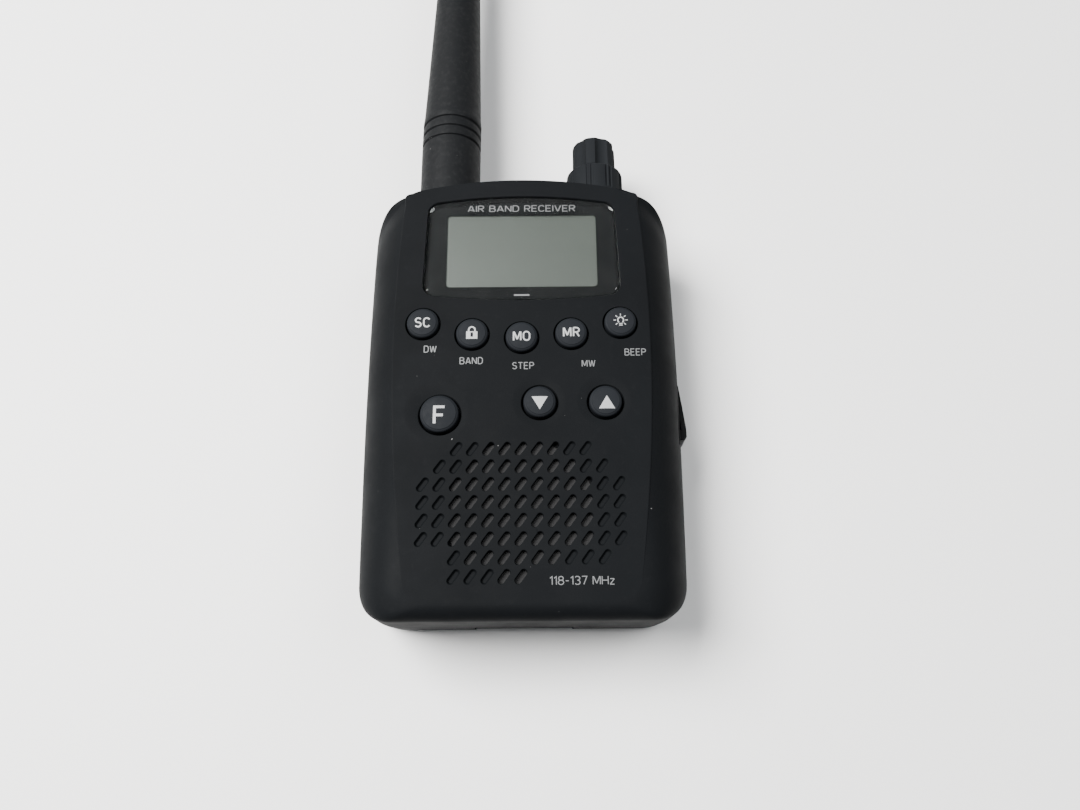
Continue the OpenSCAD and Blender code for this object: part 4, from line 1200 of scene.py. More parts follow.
class Case:
    """The front shell and the cutters that both shells share."""

    HOLLOW_ABOVE = ((-2.0, -0.5), (-2.5, 5.0), (-4.4, 9.0), (-6.0, 11.4))  # inset, height over the split
    DISHES = (
        (Key.FUNCTION, 7.4, 0.62, (-0.7, 0.8)),
        (Key.DOWN, 6.2, 0.5, (-0.2, 0.2)),
        (Key.UP, 6.3, 0.5, (-0.3, 0.3)),
    )  # key, radius, depth and how far the dish lies off the key's middle
    DISHED_RIM = 0.36  # how far a dish lowers the rim of its key's hole

    def __init__(self, palette: Palette) -> None:
        """Reads the case's size from the frame."""
        self.palette = palette
        self.plan = CasePlan.from_frame()
        self.split = float(low("front_case")[2])
        self.face = float(high("front_case")[2])
        self.lens = LensOutline.from_frame()
        self.slots = Slots(middle_in_plan("speaker_cloth"))
        self.window = (33.6, 18.3, float(middle("lcd_glass")[1]))

    @staticmethod
    def dish(place: Flat, radius: float, depth: float, face: float) -> Shape:
        """A cutter for a shallow round dish with a soft rim."""
        rings = []
        for t in np.linspace(0, 1, 16):
            z = face - depth * (1 + math.cos(math.pi * t)) / 2 + 0.012 * t
            rings.append(flat_ring(circle(max(radius * t, 0.02), place, 72), z))
        rings.append(flat_ring(circle(radius * 1.01, place, 72), face + 0.4))
        return Shape.loft(rings)

    def side_cuts(self) -> Shape:
        """Cutters for the shallow finger notches in both sides."""
        radius, depth, y = 90.0, 0.34, 2.0
        shape = Shape()
        for side in Side:
            outline = circle(radius, (side.value * (self.plan.half_width + radius - depth), y), 720)
            shape.add(prism(outline, [(-1.0, 0.0), (self.face + 1, 0.0)]))
        return shape

    def recess(self) -> List[Shape]:
        """Cutters for the recess that the jack cover closes, its deeper end and the jack's hole."""
        bottom, top = low("jack_cover")[2] - 0.4, high("jack_cover")[2] + 0.4
        x, y = float(low("cover_anchor")[0]), float(high("cover_anchor")[1])
        hole = circle(3.1, (float(middle("earphone_jack")[1]), self.split), 48)
        rings = [np.column_stack([np.full(48, place), hole]) for place in (x - 5.0, x + 1.0)]
        return [
            block((x, y - 14.1, bottom), (x + 6, y, top), 0.3),
            block((x - 1.2, y - 14.05, bottom + 0.05), (x + 0.5, y - 11.0, top - 0.05)),
            Shape.loft(rings),
        ]

    def jack_block(self, front: bool) -> Shape:
        """Half of the block behind the jack cover."""
        x, y = float(low("cover_anchor")[0]), float(high("cover_anchor")[1])
        bottom, top = (self.split, self.split + 6.0) if front else (self.split - 6.0, self.split)
        return block((x - 2.0, y - 15.6, bottom), (x + 0.5, y + 1.2, top))

    def top_holes(self) -> Shape:
        """Cutters for the antenna socket and the control bushing."""
        x = middle_in_plan("squelch_knob")[0]
        shape = Shape()
        for radius, place in ((4.85, -x), (3.6, x)):
            sides = [(radius, self.plan.top - 9), (radius, self.plan.top + 4)]
            shape.add(lathe(sides, (place, self.split), 64))
        return shape

    def top_pads(self, front: bool) -> Shape:
        """Half of the flat pads under the antenna socket and the knobs."""
        x = middle_in_plan("squelch_knob")[0]
        start, end = self.plan.top - 5, self.plan.top - 0.75
        sweep = arc((0, 0), 1.0, 0, 180 if front else -180, 48)
        shape = Shape()
        for centre in (-x, x):
            rings = []
            for radius, y in ((7.5, start), (7.5, end - 0.25), (7.25, end)):
                rows = [(centre + radius * a, y, self.split + radius * b) for a, b in sweep]
                rings.append(np.array(rows))
            shape.add(Shape.loft(rings))
        return shape

    def cloth_pocket(self, gap: float) -> Shape:
        """The shallow pocket behind the grille, or the cloth in it when a gap is given."""
        top = self.face - 1.1
        radius = float(high("speaker_cloth")[0] - low("speaker_cloth")[0]) / 2 - 0.2
        bottom = float(low("speaker_cloth")[2])
        edge = radius - gap
        profile = [(edge, bottom + gap), (edge, bottom + 0.6), (edge - 0.8, top - gap)]
        return turned(profile, middle_in_plan("speaker_cloth"), 96)

    def cloth(self) -> Piece:
        """The dust cloth, pressed up against the grille."""
        cloth = self.cloth_pocket(0.03).to_object("grille_cloth")
        smooth(cloth, 30)
        return dressed(cloth, self.palette["dust_cloth"], "case", ["speaker_cloth"])

    def key_holes(self) -> Shape:
        """Cutters for the eight key holes, each with a rounded rim."""
        dished = [row[0] for row in self.DISHES]
        clearance = 0.32
        holes = Shape()
        for key in Key:
            top = self.face - (self.DISHED_RIM if key in dished else 0.0)
            heights = [(self.face - 4, 0.0), (top - 0.2, 0.0), (top - 0.05, 0.06)]
            heights += [(top + 0.02, 0.18), (self.face + 0.6, 0.3)]
            holes.add(prism(circle(key.radius + clearance, key.place, 72), heights))
        return holes

    def front(self) -> Piece:
        """The front shell with its panel, recess, holes, dishes and grille."""
        skin = FrontSkin(self.plan, self.split, self.face)
        shell = skin.shape().to_object("front_shell")
        hollow = [(self.split + height, inset) for inset, height in self.HOLLOW_ABOVE]
        carve(shell, prism(self.plan.loops()[0], hollow))
        carve(shell, self.top_pads(True), self.jack_block(True), op=Op.ADD)
        carve(shell, self.top_holes())
        carve(shell, self.side_cuts())
        carve(shell, *self.recess())
        lens = self.lens.points()
        floor = float(low("display_lens")[2]) - 0.05
        rim = [(floor, 0.22), (self.face - 0.12, 0.24), (self.face, 0.34), (self.face + 0.5, 0.4)]
        carve(shell, prism(lens, rim))
        hole = rounded_rect(self.window[0], self.window[1], 1.0, (0, self.window[2]))
        carve(shell, prism(hole, [(self.face - 4, 0.0), (self.face, 0.0)]))
        for key, radius, depth, shift in self.DISHES:
            place = (key.place[0] + shift[0], key.place[1] + shift[1])
            carve(shell, self.dish(place, radius, depth, self.face))
        carve(shell, self.key_holes())
        carve(shell, self.cloth_pocket(0.0))
        carve(shell, self.slots.tools(self.face))
        smooth(shell, 38)
        return dressed(shell, self.palette["soft_black"], "case", ["front_case"])


class RearShell:
    """The rear shell with its battery bay, the battery door and the case screws."""

    DRAFT = 0.8  # how far the bottom end leans in towards the back
    SCREWS = ((-28.3, 37.85), (28.3, 37.85), (-27.6, -41.05), (27.6, -41.05))
    DOOR_LENGTH = 100.0  # drawn too long, then cut to the case's outline

    def __init__(self, case: Case) -> None:
        """Takes the plan and the shared cutters of the case."""
        self.case = case
        self.palette = case.palette
        self.split = case.split
        self.opening = (float(high("battery_door")[0]) - 0.7, float(high("battery_door")[1]))
        self.tongue = (10.2, float(high("battery_door")[2]))

    def skin(self) -> Shape:
        """The outer skin as one solid, rounded at the back."""
        outer, _, share = self.case.plan.loops()
        radius = 3.0 + 2.0 * share
        foot = (1 - share) * (outer[:, 1] < 0)
        rings = []
        for t in np.linspace(0.02, 1, 12):
            a = t * math.pi / 2
            height = radius * (1 - math.cos(a))
            slope = foot * self.DRAFT * (1 - height / self.split)
            flat = grown(outer, -radius * (1 - math.sin(a)) - slope)
            rings.append(np.column_stack([flat, height]))
        rings[0][:, 2] = 0.0
        rings.append(flat_ring(outer, self.split - 0.14))
        rings.append(flat_ring(grown(outer, -0.12), self.split))
        return Shape.loft(rings)

    def bay(self) -> Tuple[Points, Points]:
        """Lowest and highest corner of the battery bay."""
        left, right = low("left_cell"), high("right_cell")
        y0, y1 = low("bridge_contact")[1] - 0.1, high("plus_contact")[1] + 0.1
        return np.array([left[0] - 0.6, y0, -1.0]), np.array([right[0] + 0.6, y1, 17.0])

    def shell(self) -> Piece:
        """The rear shell."""
        shell = self.skin().to_object("rear_shell")
        outer = self.case.plan.loops()[0]
        carve(shell, prism(outer, [(2.0, -5.6), (3.4, -3.2), (6.0, -2.0), (self.split + 1, -2.0)]))
        start, end = self.bay()
        walls = block((start[0] - 1.1, start[1] - 1.1, 1.0), (end[0] + 1.1, end[1] + 1.1, self.split - 0.5))
        posts = [turned([(2.9, 1.0), (2.9, self.split - 0.1)], place, 40) for place in self.SCREWS]
        carve(shell, walls, *posts, self.case.top_pads(False), self.case.jack_block(False), op=Op.ADD)
        carve(shell, self.case.top_holes(), self.case.side_cuts(), *self.case.recess())
        carve(shell, block(start, end))
        width, top = self.opening
        bottom = self.case.plan.bottom
        length, gap = self.DOOR_LENGTH, 0.2
        opening = rounded_rect(2 * width + 2 * gap, length, 0.8, (0, top + gap - length / 2))
        carve(shell, prism(opening, [(-1, 0), (2.02, 0)]))
        carve(shell, block((-width - 0.9, bottom - 1, 0.5), (width + 0.9, top + 0.2, 1.7)))
        half, height = self.tongue
        carve(shell, block((-half - 0.2, bottom - 1, -1), (half + 0.2, start[1] - 1.0, height + 0.2)))
        holes = [turned([(2.2, -1.0), (2.2, 4.0)], place, 40) for place in self.SCREWS]
        rims = [turned([(2.5, -0.3), (2.15, 0.35)], place, 40) for place in self.SCREWS]
        carve(shell, *holes, *rims)
        smooth(bevelled(shell, 0.12, 2, 50), 38)
        return dressed(shell, self.palette["soft_black"], "case", ["rear_case"])

    def door(self) -> Piece:
        """The sliding battery door with grip ribs and an arrow."""
        width, top = self.opening
        bottom = self.case.plan.bottom
        half, height = self.tongue
        plate = rounded_rect(2 * width, self.DOOR_LENGTH, 0.6, (0, top - self.DOOR_LENGTH / 2))
        door = prism(plate, [(0.0, -0.2), (0.2, 0.0), (1.8, 0.0)]).to_object("door")
        carve(door, self.skin(), op=Op.KEEP)
        carve(door, block((-width - 0.7, bottom + 2.5, 0.7), (width + 0.7, top - 2.0, 1.5)), op=Op.ADD)
        tongue = block((-half, bottom + 0.3, 0.4), (half, bottom + 1.9, height))
        tongue.mapped(lambda p: p + np.outer(1 - p[:, 2] / self.split, (0.0, self.DRAFT, 0.0)))
        carve(door, block((-width - 1, bottom - 1, -1), (width + 1, bottom + 0.3, 3)))
        carve(door, tongue, op=Op.ADD)
        ribs = Shape()
        for k in range(7):
            y = bottom + 10.0 + 1.7 * k
            ribs.add(block((-9 + 0.5 * abs(k - 3), y, -0.3), (9 - 0.5 * abs(k - 3), y + 0.75, 0.35), 0.3))
        carve(door, ribs)
        arrow = np.array([(0.0, bottom + 5.0), (3.0, bottom + 8.0), (-3.0, bottom + 8.0)])
        carve(door, prism(arrow, [(-0.3, 0.0), (0.3, 0.0)]))
        smooth(bevelled(door, 0.12, 2, 50), 38)
        return dressed(door, self.palette["door_black"], "battery_door", ["battery_door"])

    def screws(self) -> Piece:
        """Four case screws with pan heads and cross recesses."""
        head = [(1.0, 2.7), (1.6, 2.78), (1.9, 3.1), (2.0, 3.5), (2.0, 4.0)]
        shank = [(1.1, 4.0), (1.1, 20.6), (0.7, 21.0)]
        shape = Shape()
        for place in self.SCREWS:
            shape.add(turned(head + shank, place, 40))
        screws = shape.to_object("screws")
        slots = []
        for x, y in self.SCREWS:
            for dx, dy in ((1.2, 0.22), (0.22, 1.2)):
                slots.append(block((x - dx, y - dy, 2.0), (x + dx, y + dy, 3.5)))
        carve(screws, *slots)
        smooth(screws, 30)
        return dressed(screws, self.palette["nickel"], "case", ["case_screws"])


class Display:
    """Clear lens, printed border, heading and the display under it."""

    HEADING_WIDTH = 24.0
    HEADING_DROP = 2.85  # from the lens's upper edge to the middle of the words
    INK = 0.012  # how far print lies above the lens

    def __init__(self, case: Case) -> None:
        """Takes the case's lens outline and window."""
        self.case = case
        self.palette = case.palette

    def lens(self) -> Piece:
        """The clear plate with bevelled edges."""
        bottom, top = float(low("display_lens")[2]), float(high("display_lens")[2])
        outline = self.case.lens.points()
        heights = [(bottom, 0.0), (top - 0.42, 0.0), (top - 0.3, -0.04), (top - 0.06, -0.30), (top, -0.42)]
        lens = prism(outline, heights).to_object("lens")
        smooth(lens, 10)
        return dressed(lens, self.palette["clear_lens"], "case", ["display_lens"])

    def mask(self) -> Piece:
        """The dark print on the lens's underside, with a clear window."""
        z = float(low("display_lens")[2])
        width, length, y = self.case.window
        film = prism(self.case.lens.points(), [(z - 0.045, -0.02), (z - 0.005, -0.02)])
        mask = film.to_object("lens_print")
        opening = rounded_rect(width - 0.5, length - 0.5, 0.9, (0, y))
        carve(mask, prism(opening, [(z - 1, 0.0), (z + 1, 0.0)]))
        return dressed(mask, self.palette["mask_black"], "case")

    def heading(self) -> Piece:
        """The words above the window and a plain mark below it."""
        z = float(high("display_lens")[2])
        words = Letters.write("AIR BAND RECEIVER", 1.66, 0.19)
        points = np.array(words.verts)
        scale = self.HEADING_WIDTH / (points[:, 0].max() - points[:, 0].min())
        top, bottom = self.case.lens.top - self.HEADING_DROP, self.case.lens.bottom
        ink = z + self.INK
        words.mapped(lambda p: np.column_stack([p[:, 0] * scale, p[:, 1] + top, p[:, 2] + ink]))
        mark = block((-1.7, bottom + 0.75, z + 0.004), (1.7, bottom + 1.15, ink), 0.18)
        made = words.add(mark).to_object("heading")
        return dressed(made, self.palette["dim_ink"], "case")

    def crystal(self) -> Piece:
        """The display glass with a slightly raised active area."""
        bottom, top = low("lcd_glass"), high("lcd_glass")
        glass = block(bottom, (top[0], top[1], top[2] - 0.02), 0.3).to_object("display_glass")
        width, length, y = self.case.window
        inside = rounded_rect(width - 0.12, length - 0.12, 0.9, (0, y))
        floor = float(low("display_lens")[2])
        carve(glass, prism(inside, [(top[2] - 0.5, 0.0), (floor - 0.3, 0.0)]), op=Op.ADD)
        smooth(glass, 30)
        return dressed(glass, self.palette["crystal"], "case", ["lcd_glass"])

    def build(self) -> None:
        """Makes the display's pieces."""
        self.lens()
        self.mask()
        self.heading()
        self.crystal()


class Mark:
    """Small pictures on the keys, drawn with strokes and centred on the origin."""

    @staticmethod
    def triangle(width: float, height: float, up: bool) -> Shape:
        """A triangle that points up or down."""
        tip = height / 2 if up else -height / 2
        return ribbon([(0.0, -tip), (0.0, tip)], (width, 0.02))

    @staticmethod
    def padlock() -> Shape:
        """A closed padlock with a keyhole."""
        hoop = [(-0.66, 0.2)] + bow((0.0, 0.62), (0.66, 0.7), 180, 0, 14) + [(0.66, 0.2)]
        shape = ribbon(hoop, 0.34)
        for side in Side:
            x = 0.72 * side.value
            shape.add(ribbon([(x, -1.4), (x, 0.3)], 0.92, 0.001))
        for y0, y1 in ((-1.4, -0.95), (0.05, 0.3)):
            shape.add(ribbon([(0.0, y0), (0.0, y1)], 0.6, 0.002))
        return shape

    @staticmethod
    def lamp() -> Shape:
        """A lit bulb with rays."""
        shape = ribbon(bow((0.0, 0.2), (0.62, 0.66), -55, 235, 20), 0.26)
        for y in (-0.62, -0.98):
            shape.add(ribbon([(-0.36, y), (0.36, y)], 0.2))
        for angle in (0, 45, 90, 135, 180, 225, 315):
            near, away = arc((0.0, 0.2), 1.0, angle, angle, 1), arc((0.0, 0.2), 1.5, angle, angle, 1)
            shape.add(ribbon(near + away, 0.19))
        return shape


class Keypad:
    """Eight rubber keys with printed marks, and the words beside them."""

    BALL = 24.0  # radius of a key's domed top
    INK = 0.012  # how far the printed words' base lies above the panel
    WORDS = (
        ("DW", -19.3, 7.3), ("BAND", -10.6, 4.6), ("STEP", 0.3, 3.4), ("MW", 14.0, 3.8), ("BEEP", 23.9, 6.3),
    )
    LETTERS = {
        Key.SCAN: ("SC", 2.35),
        Key.MONITOR: ("MO", 2.3),
        Key.RECALL: ("MR", 2.3),
        Key.FUNCTION: ("F", 4.1),
    }
    SHIFTS = {Key.FUNCTION: (0.1, -0.5), Key.DOWN: (0.0, -0.45), Key.UP: (0.2, -0.35)}

    def __init__(self, case: Case) -> None:
        """Takes the case's face height."""
        self.face = case.face
        self.palette = case.palette

    def mark_of(self, key: Key) -> Shape:
        """The mark printed on a key."""
        drawn = {
            Key.LOCK: Mark.padlock,
            Key.LAMP: Mark.lamp,
            Key.DOWN: lambda: Mark.triangle(3.3, 2.8, False),
            Key.UP: lambda: Mark.triangle(3.3, 2.8, True),
        }
        if key in drawn:
            return drawn[key]()
        text, size = self.LETTERS[key]
        return Letters.write(text, size, 0.14 * size, 0.9)

    def cap(self, key: Key) -> Piece:
        """One key's cap with its hidden rim."""
        base, top = float(low(key.value)[2]), float(high(key.value)[2])
        radius, round_r, rim = key.radius, 0.55, 1.0
        edge_z = top - radius**2 / (2 * self.BALL) - 0.05
        profile = [(radius + rim, base), (radius + rim, base + rim)]
        profile += [(radius, base + rim), (radius, edge_z - round_r)]
        profile += arc((radius - round_r, edge_z - round_r), round_r, 8, 80, 7)
        for r in np.linspace(radius - round_r * 1.05, 0.0, 9):
            profile.append((float(r), top - r * r / (2 * self.BALL)))
        cap = turned(profile, key.place, 80).to_object(key.value + "_cap")
        smooth(cap, 40)
        return dressed(cap, self.palette["key_grey"], key.value, [key.value])

    def print_on(self, key: Key) -> Piece:
        """The white mark that follows a key's domed top."""
        top = float(high(key.value)[2])
        x0, y0 = key.place
        shift = self.SHIFTS.get(key, (0.0, -0.08))

        def onto(points: Points) -> Points:
            """Lays points on the dome."""
            x, y = points[:, 0] + shift[0], points[:, 1] + shift[1]
            sag = (x**2 + y**2) / (2 * self.BALL)
            return np.column_stack([x + x0, y + y0, top - sag + 0.015 + points[:, 2]])

        mark = self.mark_of(key).mapped(onto).to_object(key.value + "_mark")
        return dressed(mark, self.palette["white_ink"], key.value)

    def words(self) -> Piece:
        """Second functions printed on the panel."""
        shape = Shape()
        for text, x, y in self.WORDS:
            word = Letters.write(text, 1.62, 0.2, 0.9)
            shape.add(word.mapped(lambda p, x=x, y=y: p + (x, y, self.face + self.INK)))
        plate = Letters.write("118-137 MHz", 1.75, 0.19, 1.1)
        shape.add(plate.mapped(lambda p: p + (11.6, -41.3, self.face + self.INK)))
        made = shape.to_object("panel_words")
        return dressed(made, self.palette["dim_ink"], "case")

    def build(self) -> None:
        """Makes all keys and words."""
        for key in Key:
            self.cap(key)
            self.print_on(key)
        self.words()


@dataclass
class AntennaSizes:
    """Sizes of the antenna's rubber sleeve along its axis."""

    base_radius: float = 7.18
    tip_radius: float = 3.9
    groove_radius: float = 6.72
    lean: float = 0.0165
    grooves: Tuple[float, float, float] = (66.1, 68.8, 71.5)
    groove_width: float = 0.72
    taper_start: float = 74.3
    collar_radius: float = 5.8
    collar_depth: float = 12.0
    tip_round: float = 2.2


class Antenna:
    """The tapered rubber antenna."""

    def __init__(self, palette: Palette) -> None:
        """Reads the antenna's place from the frame."""
        self.palette = palette
        self.sizes = AntennaSizes()
        self.start, self.end = float(low("antenna_sleeve")[1]), float(high("antenna_sleeve")[1])
        self.axis = middle_along_y("antenna_sleeve")

    def build(self) -> Piece:
        """Makes the sleeve, open at its base where the collar sits."""
        z = self.sizes
        straight_to = self.start + z.collar_depth
        profile: List[Flat] = [(0.02, straight_to), (z.collar_radius, straight_to)]
        profile += [(z.collar_radius, self.start + 0.2), (z.collar_radius + 0.2, self.start)]
        profile += [(z.base_radius - 0.45, self.start), (z.base_radius - 0.12, self.start + 0.14)]
        profile.append((z.base_radius, self.start + 0.5))
        for y in z.grooves:
            half = z.groove_width / 2
            profile += [(z.base_radius, y - half - 0.16), (z.base_radius - 0.07, y - half - 0.02)]
            profile += [(z.groove_radius + 0.08, y - half + 0.1), (z.groove_radius, y - half + 0.22)]
            profile += [(z.groove_radius, y + half - 0.22), (z.groove_radius + 0.08, y + half - 0.1)]
            profile += [(z.base_radius - 0.07, y + half + 0.02), (z.base_radius, y + half + 0.16)]
        profile += [(z.base_radius, z.taper_start - 1.2), (z.base_radius - 0.12, z.taper_start - 0.2)]
        profile.append((z.base_radius - 0.2, z.taper_start + 0.6))
        last = self.end - z.tip_round
        for t in np.linspace(0.1, 1, 10):
            y = z.taper_start + (last - z.taper_start) * t
            profile.append((z.base_radius - 0.2 + (z.tip_radius - z.base_radius + 0.2) * t, float(y)))
        profile += arc((z.tip_radius - z.tip_round, last), z.tip_round, 12, 86, 8)
        profile.append((0.02, self.end))

        def leaning(points: Points) -> Points:
            """Lets the sleeve lean a little above its collar."""
            away = np.clip(points[:, 1] - straight_to, 0, None)
            return points + np.column_stack([z.lean * away**2 / (away + 6.0), away * 0, away * 0])

        sleeve = lathe(profile, self.axis, 112).mapped(leaning).to_object("antenna_rubber")
        smooth(sleeve, 42)
        return dressed(sleeve, self.palette["antenna_black"], "antenna", ["antenna_sleeve"])


class Knobs:
    """The squelch ring knob and the volume knob on top of it."""

    def __init__(self, palette: Palette) -> None:
        """Reads the knobs' axis from the frame."""
        self.palette = palette
        self.axis = middle_along_y("squelch_knob")

    def flutes(
        self, count: int, radius: float, size: float, y0: float, y1: float, phase: float, gap: float
    ) -> List[Shape]:
        """Cutters for pairs of rounded grooves along the knob.

        Args:
            count: number of pairs.
            radius: distance of the cutters from the axis.
            size: a cutter's radius.
            y0: where the grooves end, rounded.
            y1: past the end of the knob.
            phase: angle of the first pair in degrees.
            gap: angle between the two grooves of a pair, or 0 for single grooves.

        Returns:
            The cutters.
        """
        turn = np.linspace(0.05, math.pi / 2, 7)
        profile = [(size * math.sin(t), y0 + size * (1 - math.cos(t))) for t in turn] + [(size, y1)]
        tools = []
        for i in range(count):
            for side in (-0.5, 0.5) if gap else (0.0,):
                a = math.radians(phase + 360 * i / count + side * gap)
                axis = (self.axis[0] + radius * math.sin(a), self.axis[1] + radius * math.cos(a))
                tools.append(lathe(profile, axis, 36))
        return tools

    def ring(self) -> Piece:
        """The ring knob: a skirt with grooves from its top edge."""
        y0, y1 = float(low("squelch_knob")[1]), float(high("squelch_knob")[1])
        r = float(high("squelch_knob")[0] - low("squelch_knob")[0]) / 2 + 0.1
        bore, well, seat = 3.02, 5.5, 5.2
        profile = [(bore, y0 + 3.4), (well, y0 + 3.4), (well, y0)]
        profile += [(r - 0.35, y0), (r - 0.08, y0 + 0.12), (r, y0 + 0.4)]
        profile += [(r, y1 - 0.8), (r - 0.12, y1 - 0.4), (r - 0.45, y1 - 0.1), (r - 0.85, y1)]
        profile += [(seat + 0.1, y1), (seat, y1 - 0.1), (seat, y1 - 0.5)]
        profile += [(2.2, y1 - 0.5), (2.2, y1 - 1.0), (bore, y1 - 1.0)]
        knob = lathe(profile, self.axis, 144, True).to_object("ring_knob")
        grooves = self.flutes(9, r + 0.14, 0.42, y1 - 6.4, y1 + 1, -13.0, 9.0)
        carve(knob, *grooves)
        smooth(bevelled(knob, 0.08, 2, 45), 40)
        return dressed(knob, self.palette["knob_black"], "squelch_control", ["squelch_knob"])

    def volume(self) -> Piece:
        """The volume knob with a notched end."""
        y0, y1 = float(low("volume_knob")[1]), float(high("volume_knob")[1])
        r, bore = 5.26, 1.95
        profile = [(0.02, y1 - 1.6), (bore, y1 - 1.6), (bore, y0), (r - 0.3, y0), (r, y0 + 0.3)]
        profile += [(r - 0.08, y1 - 1.0), (r - 0.16, y1 - 0.45), (r - 0.4, y1 - 0.12)]
        profile += [(r - 0.75, y1), (r - 1.6, y1)]
        profile += [(r - 1.8, y1 - 0.35), (0.02, y1 - 0.4)]
        knob = lathe(profile, self.axis, 120).to_object("top_knob")
        carve(knob, *self.flutes(6, r + 1.75, 2.6, y0 - 5.0, y1 + 3, 18.0, 0.0))
        smooth(bevelled(knob, 0.1, 2, 40), 40)
        return dressed(knob, self.palette["knob_black"], "volume_control", ["volume_knob"])

    def build(self) -> None:
        """Makes both knobs."""
        self.ring()
        self.volume()


class JackCover:
    """The rubber cover over the earphone jack, standing slightly open."""

    def __init__(self, palette: Palette) -> None:
        """Sets the hinge and reads the cover's heights from the frame."""
        self.palette = palette
        self.hinge = (33.65, 2.3)
        self.open = 7.0  # degrees at rest
        self.half_thick, self.length = 0.6, 12.2
        self.bottom, self.top = float(low("jack_cover")[2]), float(high("jack_cover")[2])

    def build(self) -> Piece:
        """Makes the cover as a plate with a rolled hinge end and a lip."""
        half, length = self.half_thick, self.length
        outline = arc((0, 0), half, 0, 180, 12)
        outline += [(-half, -length + 2.2), (-half - 0.85, -length + 2.2), (-half - 0.85, -length + 0.25)]
        outline += [(-half - 0.6, -length), (half - 0.8, -length)]
        outline += [(half - 0.2, -length + 0.6), (half, -length + 2.6)]
        plate = Shape.loft([flat_ring(np.array(outline), z) for z in (self.bottom, self.top)])
        turn = turning(self.open)

        def swung(points: Points) -> Points:
            """Turns points about the hinge."""
            return np.column_stack([points[:, :2] @ turn + self.hinge, points[:, 2]])

        cover = plate.mapped(swung).to_object("jack_flap")
        smooth(bevelled(cover, 0.16, 3, 40), 40)
        return dressed(cover, self.palette["cover_black"], "jack_cover", ["jack_cover"])


class Cells:
    """Two AA cells in plain jackets."""

    def __init__(self, palette: Palette) -> None:
        """Takes the palette."""
        self.palette = palette

    def cell(self, node: str) -> None:
        """One cell: jacket, band and metal ends, drawn from its flat end. The right one is turned round."""
        lowest, highest = low(node), high(node)
        axis = middle_along_y(node)
        r = float(highest[2] - lowest[2]) / 2
        flip = node == "right_cell"
        y0, y1 = float(lowest[1]), float(highest[1])
        length = y1 - y0
        seam = length * 0.68
        jacket = [(r - 0.9, 0.12), (r - 0.25, 0.12), (r, 0.45), (r, seam)]
        band = [(r, seam), (r, length - 1.9), (r - 0.3, length - 1.52), (r - 1.0, length - 1.5)]
        steel = [(0.02, 0.0), (r - 1.0, 0.0), (r - 0.9, 0.2)]
        nub = [(r - 1.0, length - 1.6), (2.7, length - 1.45), (2.65, length - 0.3)]
        nub += [(2.35, length), (0.02, length)]
        for profile, name, material in (
            (jacket, "jacket", "cell_jacket"),
            (band, "band", "cell_band"),
            (steel, "base", "tin"),
            (nub, "nub", "tin"),
        ):
            rows = [(radius, y1 - y if flip else y0 + y) for radius, y in profile]
            if flip:
                rows.reverse()
            made = lathe(rows, axis, 72).to_object(f"{node}_{name}")
            smooth(made, 35)
            dressed(made, self.palette[material], "case", [node])


class Insides:
    """Finishes for the CAD pieces that are shown as they are."""

    FINISHES = {
        "nickel": (
            "board_screws", "dome_switches", "speaker_magnet", "control_nut", "volume_shaft", "squelch_shaft",
            "antenna_socket", "socket_nut", "socket_washer", "antenna_collar", "antenna_plug", "cell_springs",
            "bridge_contact", "plus_contact", "minus_contact",
        ),
        "tin": ("rf_shield", "filter_cans", "speaker_frame", "control_body"),
        "white_plastic": ("display_holder", "socket_insulator"),
        "brass_plate": ("socket_contact", "antenna_pin"),
        "lead_red": ("speaker_leads", "antenna_lead"),
        "milky": ("backlight_panel",),
        "strip_pink": ("contact_strips",),
        "board_green": ("main_board",),
        "chip_black": ("chips",),
        "sleeve_blue": ("capacitors",),
        "mat_grey": ("keypad_mat",),
        "cone_black": ("speaker_cone",),
        "copper": ("antenna_coil",),
        "cover_black": ("cover_anchor",),
        "gloss_black": ("earphone_jack",),
    }
    SOFT_EDGES = (
        "antenna_socket", "socket_nut", "control_nut", "earphone_jack", "cover_anchor", "antenna_collar",
    )
    EDGE = 0.12

    def __init__(self, palette: Palette, frame: Dict[str, object]) -> None:
        """Takes the palette and the loaded frame."""
        self.palette = palette
        self.nodes = frame["nodes"]

    def build(self) -> None:
        """Finishes every CAD piece that is left as it is."""
        for finish, names in self.FINISHES.items():
            for name in names:
                node = self.nodes[name]
                node.data.materials.clear()
                node.data.materials.append(self.palette[finish])
                if name in self.SOFT_EDGES:
                    mod = node.modifiers.new("edge", "BEVEL")
                    mod.width = self.EDGE * MM
                    mod.segments = 2
                    mod.limit_method = "ANGLE"
                    mod.angle_limit = math.radians(40)
                LOG.info("%s is finished as %s", name, finish)


# ---------------------------------------------------------------- stage


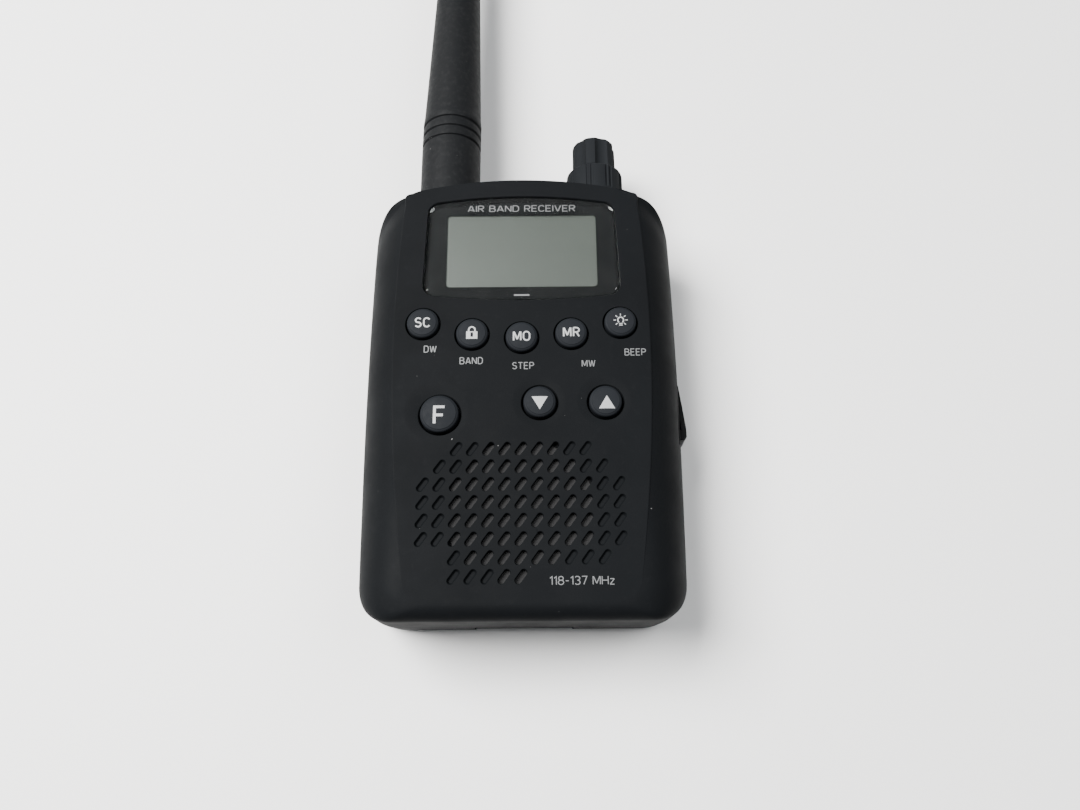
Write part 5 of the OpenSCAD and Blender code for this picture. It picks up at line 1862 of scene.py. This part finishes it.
@dataclass
class Stage:
    """Floor, light and camera."""

    palette: Palette
    camera_place: Tuple[float, float, float] = (3.25, -67.0, 203.0)
    tilt: float = 19.4
    yaw: float = -0.47

    def floor(self) -> None:
        """A pale table."""
        reach, thick = 1500.0, 4.0
        table = block((-reach, -reach, -thick), (reach, reach, 0.0)).to_object("floor")
        table.data.materials.append(self.palette["tabletop"])

    def camera(self) -> None:
        """The camera above the lower end, tilted towards the antenna."""
        data = bpy.data.cameras.new("camera")
        data.sensor_width = 36.0
        data.lens = 30.0
        data.clip_start = 0.01
        eye = bpy.data.objects.new("camera", data)
        eye.location = Vector(self.camera_place) * MM
        eye.rotation_euler = (math.radians(self.tilt), 0.0, math.radians(self.yaw))
        bpy.context.scene.collection.objects.link(eye)
        bpy.context.scene.camera = eye

    def lamp(
        self, name: str, place: Sequence[float], aim: Sequence[float], power: float, colour: Colour,
        size: float = 460.0,
    ) -> None:
        """One soft square lamp, aimed at a point."""
        data = bpy.data.lights.new(name, "AREA")
        data.shape = "SQUARE"
        data.size = size * MM
        data.energy = power
        data.color = colour
        lamp = bpy.data.objects.new(name, data)
        lamp.location = Vector(place) * MM
        direction = (Vector(aim) - Vector(place)).normalized()
        lamp.rotation_euler = direction.to_track_quat("-Z", "Y").to_euler()
        bpy.context.scene.collection.objects.link(lamp)

    def world(self) -> None:
        """Even pale surroundings."""
        world = bpy.data.worlds.new("room")
        world.use_nodes = True
        sky = world.node_tree.nodes["Background"]
        sky.inputs["Color"].default_value = (0.93, 0.96, 1.0, 1.0)
        sky.inputs["Strength"].default_value = 0.22
        bpy.context.scene.world = world

    def build(self) -> None:
        """Sets everything up."""
        self.floor()
        self.camera()
        self.world()
        self.lamp("left_light", (-400, 160, 660), (-40, 30, 0), 31.0, (1.0, 0.99, 0.98))
        self.lamp("right_light", (440, 120, 680), (0, 0, 0), 5.0, (0.98, 0.99, 1.0))


def main() -> None:
    """Builds every piece in order."""
    logging.basicConfig(level=logging.INFO, format="%(message)s")
    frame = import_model()
    palette = Palette()
    case = Case(palette)
    case.front()
    case.cloth()
    rear = RearShell(case)
    rear.shell()
    rear.door()
    rear.screws()
    Display(case).build()
    Keypad(case).build()
    Antenna(palette).build()
    Knobs(palette).build()
    JackCover(palette).build()
    cells = Cells(palette)
    cells.cell("left_cell")
    cells.cell("right_cell")
    Insides(palette, frame).build()
    Stage(palette).build()


if __name__ == "__main__":
    main()
